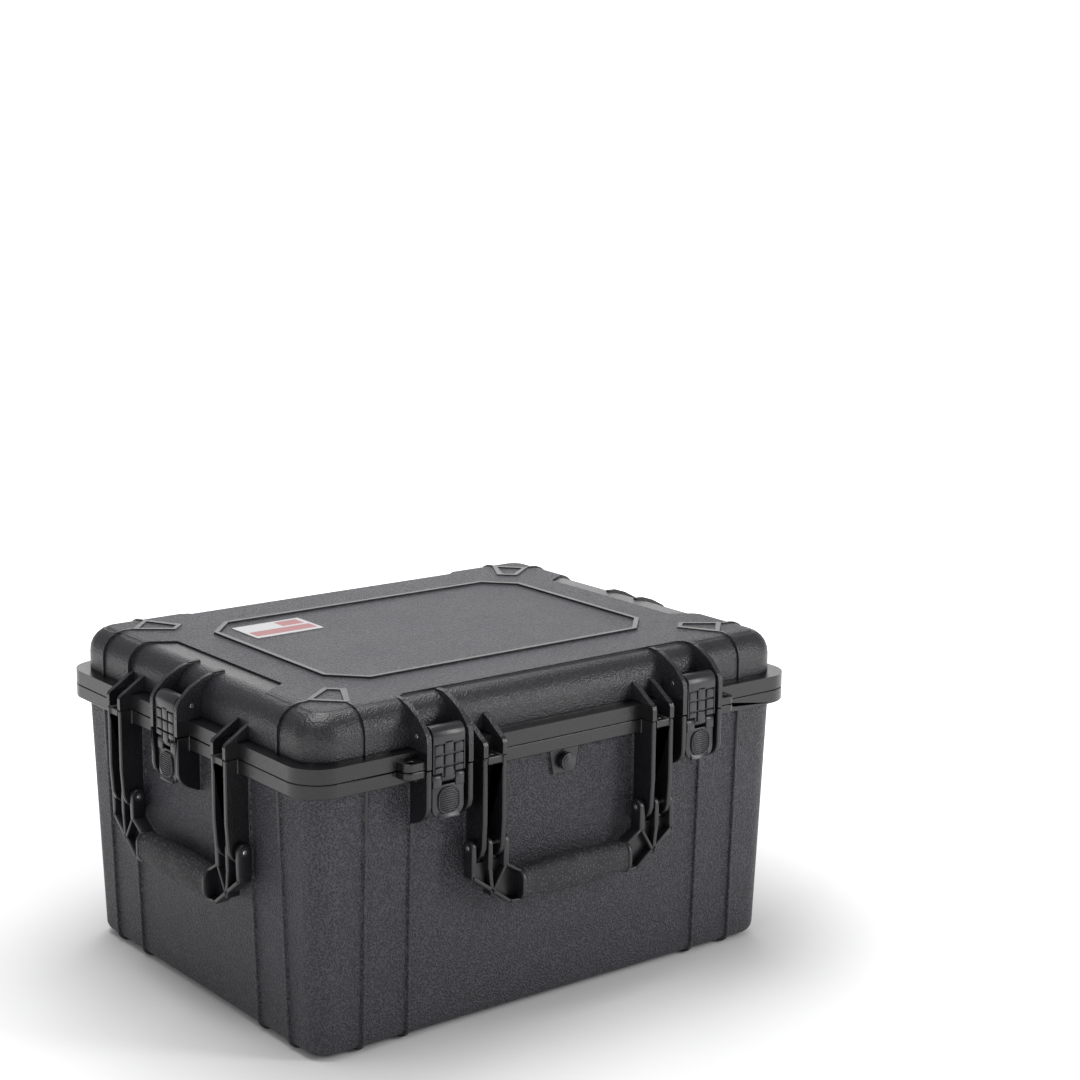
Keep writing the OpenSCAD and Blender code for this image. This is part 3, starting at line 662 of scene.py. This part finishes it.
class CASE_OT_materials(bpy.types.Operator):
    """Makes the shader groups and every material of the case"""

    bl_idname = "case.materials"
    bl_label = "Materials"

    def execute(self, context):
        shell = context.scene.case_shell
        make_grain_group()
        make_scuff_group()
        shell_material("base_plastic", shell, base_grain)
        shell_material("lid_plastic", shell, lid_grain)
        satin_material("latch_nylon", tuple(c * 2.6 for c in shell.plastic), 0.30)
        satin_material("handle_nylon", tuple(c * 1.4 for c in shell.plastic), 0.34)
        satin_material("valve_nylon", tuple(c * 1.8 for c in shell.plastic), 0.30)
        rubber_material("stippled_rubber", tuple(context.scene.case_grip.colour), 300.0, 1.0)
        rubber_material("soft_rubber", (0.016, 0.016, 0.017), 900.0, 0.2)
        foam_material("lid_foam_grey", tuple(context.scene.case_foam.colour))
        foam_material("base_foam_grey", tuple(c * 1.15 for c in context.scene.case_foam.colour))
        foam_material("pad_foam_grey", tuple(c * 0.7 for c in context.scene.case_foam.colour))
        steel_material()
        label_material()
        return {"FINISHED"}


class CASE_OT_shells(bpy.types.Operator):
    """Rounds the moulded edges of the base and the lid"""

    bl_idname = "case.shells"
    bl_label = "Base and lid"

    def execute(self, context):
        width = context.scene.case_shell.edge_round
        joints = frame["record"]["behaviour"]["joints"]
        plane = next(joint["pos_m"][2] for joint in joints if joint["name"] == "lid_hinge")
        for half, gap, share in (("base", BASE_GAP, 1.0), ("lid", LID_GAP, LID_ROUND_SHARE)):
            is_lid = half == "lid"
            plastic = half + "_plastic"
            for node in (half + "_shell", half + "_padlock_lugs"):
                rounded_copy(node, plastic, width * share, clamp=is_lid,
                             shape=lambda bm: open_parting(bm, plane, gap, is_lid))
        return {"FINISHED"}


def make_link(side):
    """A latch's upper plate: a smooth top band over three columns of raised squares."""
    pin, low_pin = node_middle(side + "_latch_pin"), node_middle(side + "_lever_pin")
    place = front_place(side, pin.x if "front" in side else 0.0)
    pin, low_pin = place.inverted() @ pin, place.inverted() @ low_pin
    half = LATCH_HALF
    face, floor = low_pin.y - 6.5 * MM, low_pin.y - 4.3 * MM
    foot = low_pin.z + 6 * MM
    bm = bmesh.new()
    band = [(face, pin.z - 7.5 * MM), (face, pin.z + 0.5 * MM), (face + 0.8 * MM, pin.z + 4 * MM),
            (face + 3 * MM, pin.z + 7 * MM), (face + 7 * MM, pin.z + 9.6 * MM),
            (face + 12 * MM, pin.z + 9.6 * MM), *arc((pin.y, pin.z), 6.5 * MM, 70, -80, 9),
            (low_pin.y, pin.z - 8 * MM)]
    add_plate(bm, band, 2 * half, -half, "X", 0.8 * MM)
    add_block(bm, (-half, floor, foot), (half, low_pin.y, pin.z - 6 * MM), 0.6 * MM, 3)
    pad = 4.8 * MM
    for column, rows in ((-1, OUTER_PADS), (0, MIDDLE_PADS), (1, OUTER_PADS)):
        for start, tall in rows:
            x, z = column * 11.9 * MM, foot + start * MM
            add_block(bm, (x - pad, face, z), (x + pad, floor + 1 * MM, z + tall * MM), 0.55 * MM, 3)
    add_block(bm, (-pad - 0.5 * MM, face, foot + 18.8 * MM),
              (pad, floor + 1 * MM, pin.z - 5 * MM), 0.5 * MM)
    for sign in (-1, 1):
        x = sign * 18.2 * MM
        add_block(bm, (x - 0.8 * MM, face + 0.2 * MM, foot),
                  (x + 0.8 * MM, low_pin.y, pin.z - 6 * MM), 0.6 * MM, 3)
    add_block(bm, (-7.5 * MM, floor, low_pin.z), (7.5 * MM, low_pin.y, foot + 1 * MM), 0.6 * MM)
    add_rod(bm, 5 * MM, (-7.5 * MM, low_pin.y, low_pin.z), (7.5 * MM, low_pin.y, low_pin.z))
    bmesh.ops.transform(bm, matrix=place, verts=bm.verts)
    piece = finish_piece(bm, side + "_latch_plate", side + "_link", [side + "_latch_link"], "latch_nylon")


def make_lever(side):
    """A latch's lever: a rounded plate that carries an upright ridged thumb pad."""
    pin = node_middle(side + "_lever_pin")
    place = front_place(side, pin.x if "front" in side else 0.0)
    pin = place.inverted() @ pin
    node = side + "_latch_lever"
    foot = (place.inverted() @ node_middle(node)).z * 2 - node_box(node)[1].z
    half = LATCH_HALF
    bm = bmesh.new()
    corner = 13 * MM
    top = pin.z - 6.5 * MM
    plate = [(-half, top), *arc((-half + corner, foot + corner), corner, 180, 270, 8),
             *arc((half - corner, foot + corner), corner, 270, 360, 8), (half, top)]
    add_plate(bm, plate, 4.2 * MM, pin.y - 4.4 * MM, "Y", 0.9 * MM)
    lip = [
        (pin.y - 4.2 * MM, foot + 8 * MM), (pin.y - 6.8 * MM, foot + 1.6 * MM),
        (pin.y - 6.2 * MM, foot + 0.2 * MM), (pin.y - 4.0 * MM, foot + 0.6 * MM),
        (pin.y - 2.0 * MM, foot + 5 * MM), (pin.y - 1 * MM, foot + 12 * MM),
    ]
    add_plate(bm, lip, 25 * MM, -12.5 * MM, "X", 0.8 * MM)
    for sign in (-1, 1):
        add_rod(bm, 5 * MM, (sign * 8.2 * MM, pin.y, pin.z), (sign * half, pin.y, pin.z))
        add_block(bm, (min(sign * 8.2, sign * 18.6) * MM, pin.y - 5.4 * MM, pin.z - 9 * MM),
                  (max(sign * 8.2, sign * 18.6) * MM, pin.y, pin.z), 0.7 * MM, 3)
    middle = (0, foot + 18.6 * MM)
    half_x, half_z, bend = 12.6 * MM, 13.2 * MM, 9.5 * MM
    add_plate(bm, stadium(middle, half_x, half_z, bend), 3 * MM, pin.y - 5.6 * MM, "Y", 0.4 * MM)
    rim = stadium(middle, half_x - 0.6 * MM, half_z - 0.6 * MM, bend, 8)
    ridge = pin.y - 5.9 * MM
    for first, second in zip(rim, rim[1:] + rim[:1]):
        start, end = (first[0], ridge, first[1]), (second[0], ridge, second[1])
        add_rod(bm, 0.8 * MM, start, end, 8, 0.1 * MM)
    for row in range(10):
        z = middle[1] + (row - 4.5) * 2.3 * MM
        off = max(0.0, abs(z - middle[1]) - (half_z - bend))
        reach = half_x - bend + math.sqrt(max(0, bend ** 2 - off ** 2)) - 1.8 * MM
        if reach > 3 * MM:
            add_rod(bm, 0.75 * MM, (-reach, ridge, z), (reach, ridge, z), 10, 0.3 * MM)
    add_block(bm, (-12 * MM, pin.y - 1 * MM, foot + 12 * MM),
              (12 * MM, pin.y + 3.6 * MM, foot + 20 * MM), 0.8 * MM)
    bmesh.ops.transform(bm, matrix=place, verts=bm.verts)
    piece = finish_piece(bm, side + "_latch_thumb", side + "_lever", [node], "latch_nylon")


class CASE_OT_latches(bpy.types.Operator):
    """Finishes the four latches with their levers and pins"""

    bl_idname = "case.latches"
    bl_label = "Latches"

    def execute(self, context):
        for side in SIDES:
            make_link(side)
            make_lever(side)
            rounded_copy(side + "_latch_pin", "stainless_steel", 0.4 * MM)
            rounded_copy(side + "_lever_pin", "stainless_steel", 0.3 * MM)
        return {"FINISHED"}


def make_handle_frame(handle):
    """The two ribbed arms of a handle, each with three prongs and a collar for the grip."""
    place = front_place(handle)
    pins = place.inverted() @ node_middle(handle + "_handle_pins")
    grip_box = [place.inverted() @ corner for corner in node_box(handle + "_handle_grip")]
    grip = (grip_box[0] + grip_box[1]) / 2
    grip_half = abs(grip_box[1].x - grip_box[0].x) / 2 + 2.2 * MM
    pin_half = max(abs((place.inverted() @ c).x) for c in node_box(handle + "_handle_frame"))
    near, deep = pins.y - 7.5 * MM, pins.y + 7.5 * MM
    out, step = pin_half, 23 * MM
    fins = [(out - 46.2 * MM, out - 39.4 * MM), (out - 25.8 * MM, out - 20.2 * MM), (out - 5.6 * MM, out)]
    apex = (fins[0][0] + 3.2 * MM, pins.z - step)
    cross = (out - 26 * MM, grip.z - 1.5 * MM)
    heel = (grip_half + 14 * MM, grip.z - 14.5 * MM)
    elbow = (out - 2.2 * MM, grip.z + 20 * MM)
    collar_top = (grip_half + 2 * MM, grip.z + 15.5 * MM)
    toe = (grip_half + 1 * MM, grip.z - 15.2 * MM)
    bm = bmesh.new()
    for sign in (-1, 1):
        def flip(point):
            return (sign * point[0], point[1])
        for first, second in fins:
            eye = reversed(arc((pins.y, pins.z), 8 * MM, 0, 180, 10))
            side = [(near, apex[1] - 2 * MM), *eye, (deep, apex[1] - 2 * MM)]
            start, stop = sorted((sign * first, sign * second))
            add_plate(bm, side, stop - start, start, "X", 1.0 * MM)
        for first, second, thick in (
            (apex, collar_top, 3.4), (apex, cross, 3.4), (elbow, heel, 4.0), (heel, toe, 3.6),
            ((fins[1][0] + 2.8 * MM, apex[1]), cross, 4.4), ((fins[2][0] + 3.0 * MM, apex[1]), elbow, 4.4),
            ((fins[0][0] + 3.2 * MM, pins.z - step + 3 * MM), apex, 5.6),
        ):
            add_bar(bm, flip(first), flip(second), thick * MM, near, deep, 1.0 * MM)
        ledge = pins.z - 18.5 * MM
        web = [flip(p) for p in (apex, collar_top, toe, heel, cross, elbow,
                                 (fins[2][1] - 2 * MM, ledge), (fins[0][0] + 2 * MM, ledge))]
        add_plate(bm, web, 3 * MM, deep - 6 * MM, "Y", 0.4 * MM)
        disc = stadium((0, 0), 13.2 * MM, 17.6 * MM, 13.1 * MM, 8)
        disc = [(grip.y + a, grip.z + b) for a, b in disc]
        start = min(sign * (grip_half - 2 * MM), sign * (grip_half + 2.4 * MM))
        add_plate(bm, disc, 4.4 * MM, start, "X", 1.2 * MM)
    bmesh.ops.transform(bm, matrix=place, verts=bm.verts)
    piece = finish_piece(bm, handle + "_handle_arms", handle + "_handle", [handle + "_handle_frame"],
                         "handle_nylon")


def make_handle_pins(handle):
    """A handle's two steel pins, their ends shown in dark rings on the outer prongs."""
    place = front_place(handle)
    pins = place.inverted() @ node_middle(handle + "_handle_pins")
    outer = max(abs((place.inverted() @ c).x) for c in node_box(handle + "_handle_frame"))
    steel, ring = bmesh.new(), bmesh.new()
    for sign in (-1, 1):
        axis = [(sign * x, pins.y, pins.z) for x in (outer - 46.8 * MM, outer + 0.6 * MM)]
        add_rod(steel, 2.4 * MM, axis[0], axis[1], 28, 0.5 * MM)
        for x, grow in ((outer, 0.2 * MM), (outer - 46.2 * MM, -0.2 * MM)):
            start, end = sign * (x - 5 * grow), sign * (x + grow)
            add_rod(ring, 4.6 * MM, (start, pins.y, pins.z), (end, pins.y, pins.z), 32, 0.15 * MM)
    for bm, name, material in (
        (steel, "_steel_pins", "stainless_steel"), (ring, "_pin_rings", "soft_rubber"),
    ):
        bmesh.ops.transform(bm, matrix=place, verts=bm.verts)
        replaced = [handle + "_handle_pins"] if bm is steel else []
        body = "base" if bm is steel else handle + "_handle"
        piece = finish_piece(bm, handle + name, body, replaced, material)


def make_grip(handle, looks):
    """A rubber grip lofted from ring to ring, with finger grooves underneath."""
    node = handle + "_handle_grip"
    low, high = node_box(node)
    middle = (low + high) / 2
    size = high - low
    along = 0 if size.x > size.y else 1
    length = size[along]
    depth, tall = size[1 - along] / 2, size.z / 2
    collar = 4 * MM
    steps = 72
    bm = bmesh.new()
    ring = bmesh.ops.create_circle(bm, segments=40, radius=1.0)["verts"]
    edges = list(bm.edges)
    spots = [i / steps for i in range(steps + 1)]

    def ring_points(verts, t):
        """Shapes one ring of unit vertices at a share of the length."""
        s = t * length - length / 2
        near_end = min(t, 1 - t) * length
        swell = 0.80 + 0.19 * math.sin(math.pi * t) ** 0.8
        if near_end < collar:
            swell = 0.86 + 0.03 * math.sin(math.pi * near_end / collar)
        turn = 2 * math.pi * looks.fingers * (t * length - collar) / (length - 2 * collar)
        wave = 0.5 - 0.5 * math.cos(turn)
        wave = 0.0 if near_end < collar else wave
        for k, vert in enumerate(verts):
            angle = 2 * math.pi * k / len(verts)
            c, z = math.cos(angle), math.sin(angle)
            square = (abs(c) ** 2.6 + abs(z) ** 2.6) ** (-1 / 2.6)
            across, up = c * square * depth * swell, z * square * tall * swell
            if z < 0:
                up += looks.groove * wave * wave * abs(z)
            vert.co = Vector((s, across, up)) if along == 0 else Vector((across, s, up))
            vert.co += middle

    ring_points(ring, 0)
    first = edges
    for t in spots[1:]:
        grown = bmesh.ops.extrude_edge_only(bm, edges=edges)["geom"]
        fresh = verts_of(grown)
        edges = edges_between(grown, fresh)
        ring_points(fresh, t)
    bmesh.ops.contextual_create(bm, geom=first)
    bmesh.ops.contextual_create(bm, geom=edges)
    bmesh.ops.recalc_face_normals(bm, faces=bm.faces)
    piece = finish_piece(bm, node + "_rubber", handle + "_handle", [node], "stippled_rubber", 50.0)


class CASE_OT_handles(bpy.types.Operator):
    """Finishes the three folding handles with their grips and pins"""

    bl_idname = "case.handles"
    bl_label = "Handles"

    def execute(self, context):
        for handle in HANDLES:
            make_handle_frame(handle)
            make_handle_pins(handle)
            make_grip(handle, context.scene.case_grip)
        return {"FINISHED"}


def round_the_corners(bm, half_x, half_y, radius):
    """Moves the vertices of a rectangle's grid so that its upright corners are round."""
    for vert in bm.verts:
        over_x = abs(vert.co.x) - (half_x - radius)
        over_y = abs(vert.co.y) - (half_y - radius)
        if over_x > 0 and over_y > 0:
            far = max(over_x, over_y)
            pull = far / math.hypot(over_x, over_y)
            vert.co.x = math.copysign(half_x - radius + over_x * pull, vert.co.x)
            vert.co.y = math.copysign(half_y - radius + over_y * pull, vert.co.y)


def make_lid_foam(looks):
    """The lid's foam: a dimpled face that hangs below a plain block."""
    low, high = node_box("lid_foam")
    half_x, half_y = high.x, high.y
    bm = bmesh.new()
    bmesh.ops.create_grid(bm, x_segments=150, y_segments=116, size=1.0)
    bmesh.ops.scale(bm, vec=(half_x, half_y, 1), verts=bm.verts)
    round_the_corners(bm, half_x, half_y, LID_FOAM_CORNER)
    for vert in bm.verts:
        u = math.cos(2 * math.pi * vert.co.x / looks.pitch)
        v = math.cos(2 * math.pi * vert.co.y / looks.pitch)
        share = 0.5 - 0.5 * u * v
        uneven = noise.noise(vert.co * 45) * 0.7 * MM + noise.noise(vert.co * 160) * 0.3 * MM
        vert.co.z = low.z + 1.2 * MM + looks.depth * share ** 1.15 + uneven
    rim = [edge for edge in bm.edges if edge.is_boundary]
    deep = low.z + looks.depth + 8 * MM
    grown = bmesh.ops.extrude_edge_only(bm, edges=rim)["geom"]
    wall = verts_of(grown)
    for vert in wall:
        vert.co.z = deep
    rim = edges_between(grown, wall)
    grown = bmesh.ops.extrude_edge_only(bm, edges=rim)["geom"]
    top = verts_of(grown)
    inset = 15 * MM
    for vert in top:
        vert.co = Vector((vert.co.x * (1 - inset / half_x), vert.co.y * (1 - inset / half_y), high.z))
    rim = edges_between(grown, top)
    bmesh.ops.contextual_create(bm, geom=rim)
    bmesh.ops.recalc_face_normals(bm, faces=bm.faces)
    piece = finish_piece(bm, "lid_foam_dimpled", "lid", ["lid_foam"], "lid_foam_grey", 60.0)


def make_foam_block(node, material, round_top):
    """A block of foam cut to the base's leaning walls, softened at its edges."""
    low, high = node_box(node)
    lean = 1 - (high.z - low.z) * BASE_FOAM_LEAN / high.x
    bm = bmesh.new()
    bmesh.ops.create_cube(bm, size=2.0)
    bmesh.ops.scale(bm, vec=(high.x - 0.3 * MM, high.y - 0.3 * MM, (high.z - low.z) / 2), verts=bm.verts)
    bmesh.ops.translate(bm, vec=(0, 0, (high.z + low.z) / 2), verts=bm.verts)
    for vert in bm.verts:
        if vert.co.z < (high.z + low.z) / 2:
            vert.co.x *= lean
            vert.co.y *= lean
    upright = [e for e in bm.edges if abs(e.verts[0].co.z - e.verts[1].co.z) > 1 * MM]
    bmesh.ops.bevel(bm, geom=upright, offset=BASE_FOAM_CORNER, segments=10, affect="EDGES",
                    profile=0.5, material=-1)
    flat = [e for e in bm.edges if abs(e.verts[0].co.z - e.verts[1].co.z) < 0.1 * MM]
    bmesh.ops.bevel(bm, geom=flat, offset=round_top, segments=4, affect="EDGES", profile=0.5, material=-1)
    bmesh.ops.recalc_face_normals(bm, faces=bm.faces)
    for cut in range(-11, 12):
        for axis, half in (((1, 0, 0), high.x), ((0, 1, 0), high.y)):
            place = Vector(axis) * (cut / 12 * half)
            bmesh.ops.bisect_plane(bm, geom=bm.verts[:] + bm.edges[:] + bm.faces[:],
                                   plane_co=place, plane_no=axis)
    for vert in bm.verts:
        vert.co.z += noise.noise(vert.co * 14) * 0.5 * MM if vert.co.z > high.z - 1 * MM else 0
        vert.co.z = min(vert.co.z, high.z)
    piece = finish_piece(bm, node + "_cut", "base", [node], material, 40.0)


class CASE_OT_foams(bpy.types.Operator):
    """Makes the dimpled lid foam and the base's foam layers"""

    bl_idname = "case.foams"
    bl_label = "Foams"

    def execute(self, context):
        looks = context.scene.case_foam
        make_lid_foam(looks)
        make_foam_block("foam_upper_layer", "base_foam_grey", looks.edge_round)
        make_foam_block("foam_lower_layer", "base_foam_grey", 2 * MM)
        make_foam_block("foam_bottom_pad", "pad_foam_grey", 2 * MM)
        return {"FINISHED"}


def make_valve_knob():
    """The valve's round knob with a ribbed edge and rings on its face."""
    low, high = node_box("vent_knob")
    middle = (low + high) / 2
    radius = (high.x - low.x) / 2
    bm = bmesh.new()
    for share, front in ((0.94, 1.2 * MM), (0.72, 0.4 * MM), (0.44, 0.0)):
        add_rod(bm, radius * share, (middle.x, high.y, middle.z),
                (middle.x, low.y + front, middle.z), 48, 0.35 * MM)
    for rib in range(KNOB_RIBS):
        angle = 2 * math.pi * rib / KNOB_RIBS
        x = middle.x + radius * 0.93 * math.cos(angle)
        z = middle.z + radius * 0.93 * math.sin(angle)
        add_rod(bm, radius * 0.07, (x, high.y, z), (x, low.y + 1.5 * MM, z), 8, 0.1 * MM)
    piece = finish_piece(bm, "vent_knob_ringed", "vent_knob", ["vent_knob"], "latch_nylon")


class CASE_OT_fittings(bpy.types.Operator):
    """Finishes the valve, the seal, the label plate and the hinge pins"""

    bl_idname = "case.fittings"
    bl_label = "Valve, seal, label and hinge pins"

    def execute(self, context):
        for node in ("vent_body", "vent_nut"):
            rounded_copy(node, "valve_nylon", 0.3 * MM)
        make_valve_knob()
        for node in ("lid_gasket", "vent_seal"):
            rounded_copy(node, "soft_rubber", 0.4 * MM)
        rounded_copy("label_plate", "label_print", 0.2 * MM)
        for node in ("hinge_pin_left", "hinge_pin_right"):
            rounded_copy(node, "stainless_steel", 0.5 * MM)
        return {"FINISHED"}


# ---------------------------------------------------------------- stage


def area_light(name, power, size, place, aim):
    """A rectangular studio light at a place, turned towards a point."""
    data = bpy.data.lights.new(name, "AREA")
    data.shape = "RECTANGLE"
    data.energy = power
    data.size, data.size_y = size
    light = bpy.data.objects.new(name, data)
    bpy.context.scene.collection.objects.link(light)
    light.visible_camera = False
    turn = (Vector(aim) - Vector(place)).to_track_quat("-Z", "Y")
    light.matrix_world = Matrix.Translation(place) @ turn.to_matrix().to_4x4()


class CASE_OT_stage(bpy.types.Operator):
    """Sets the pale floor and backdrop, the soft lights and the camera"""

    bl_idname = "case.stage"
    bl_label = "Stage"

    def execute(self, context):
        looks = context.scene.case_stage
        scene = context.scene
        bm = bmesh.new()
        bmesh.ops.create_grid(bm, x_segments=1, y_segments=1, size=9.0)
        mesh = bpy.data.meshes.new("floor")
        bm.to_mesh(mesh)
        bm.free()
        floor = bpy.data.objects.new("floor", mesh)
        scene.collection.objects.link(floor)
        material = bpy.data.materials.new("pale_floor")
        tree, shader = node_tree(material)
        haze = noise_texture(tree, object_coordinates(tree), 1.5, 2.0)
        tree.links.new(mix_colour(tree, haze, tuple(c * 0.97 for c in looks.floor), tuple(looks.floor)),
                       shader.inputs["Base Color"])
        shader.inputs["Roughness"].default_value = 0.9
        # Away from the case the floor glows white: painted light that keeps the far floor bright and
        # lights the case from below.
        far = tree.nodes.new("ShaderNodeVectorMath")
        far.operation = "LENGTH"
        tree.links.new(object_coordinates(tree), far.inputs[0])
        glow = fade(tree, far.outputs["Value"], 0.38, 1.1)
        tree.links.new(mix_colour(tree, glow, (0, 0, 0), (1, 1, 1)), shader.inputs["Emission Color"])
        shader.inputs["Emission Strength"].default_value = 0.8
        mesh.materials.append(material)
        scene.view_settings.view_transform = "Standard"
        world = bpy.data.worlds.new("studio")
        scene.world = world
        world.use_nodes = True
        background = world.node_tree.nodes["Background"]
        background.inputs["Color"].default_value = (1, 1, 1, 1)
        seen = world.node_tree.nodes.new("ShaderNodeLightPath")
        strength = fade(world.node_tree, seen.outputs["Is Camera Ray"], 0, 1, looks.sky, 1.1)
        world.node_tree.links.new(strength, background.inputs["Strength"])
        area_light("top_softbox", looks.top_light, (1.6, 0.9), (-0.1, 0.15, 1.7), (0, 0, 0.3))
        area_light("front_softbox", looks.front_light, (0.5, 1.3), (1.3, -1.9, 1.0), (0, 0, 0.2))
        area_light("back_softbox", looks.top_light * BACK_LIGHT_SHARE, (2.2, 1.3),
                   (1.4, 2.0, 1.0), (0, 0, 0.3))
        area_light("left_softbox", looks.front_light * LEFT_LIGHT_SHARE, (0.10, 1.0),
                   (-2.0, -0.9, 1.0), (0, 0, 0.2))
        data = bpy.data.cameras.new("camera")
        data.sensor_width = 36.0
        data.lens = looks.lens
        camera = bpy.data.objects.new("camera", data)
        scene.collection.objects.link(camera)
        azimuth, elevation, roll = (math.radians(a) for a in CAMERA_TURN)
        turn = Euler((math.pi / 2 - elevation, 0, azimuth)).to_matrix() @ Matrix.Rotation(roll, 3, "Z")
        camera.matrix_world = Matrix.Translation(CAMERA_PLACE) @ turn.to_4x4()
        scene.camera = camera
        return {"FINISHED"}


class CASE_PT_panel(bpy.types.Panel):
    """Lists the case's pieces and their looks"""

    bl_idname = "CASE_PT_panel"
    bl_label = "Equipment case"
    bl_space_type = "VIEW_3D"
    bl_region_type = "UI"
    bl_category = "Case"

    def draw(self, context):
        for step in STEPS:
            self.layout.operator(step.bl_idname)
        for name in LOOKS:
            box = self.layout.box()
            group = getattr(context.scene, name)
            for key in group.bl_rna.properties.keys():
                if key not in ("rna_type", "name"):
                    box.prop(group, key)


STEPS = (
    CASE_OT_materials, CASE_OT_shells, CASE_OT_latches, CASE_OT_handles,
    CASE_OT_foams, CASE_OT_fittings, CASE_OT_stage,
)
LOOKS = {
    "case_shell": CaseShellLooks,
    "case_foam": CaseFoamLooks,
    "case_grip": CaseGripLooks,
    "case_stage": CaseStageLooks,
}
CLASSES = (*LOOKS.values(), *STEPS, CASE_PT_panel)


def register():
    """Registers the classes and hangs the looks on the scene."""
    for cls in CLASSES:
        bpy.utils.register_class(cls)
    for name, group in LOOKS.items():
        setattr(bpy.types.Scene, name, PointerProperty(type=group))


def unregister():
    """Takes the looks and the classes away again."""
    for name in LOOKS:
        delattr(bpy.types.Scene, name)
    for cls in reversed(CLASSES):
        bpy.utils.unregister_class(cls)


def main():
    register()
    for step in STEPS:
        group, action = step.bl_idname.split(".")
        getattr(getattr(bpy.ops, group), action)()


if __name__ == "__main__":
    main()
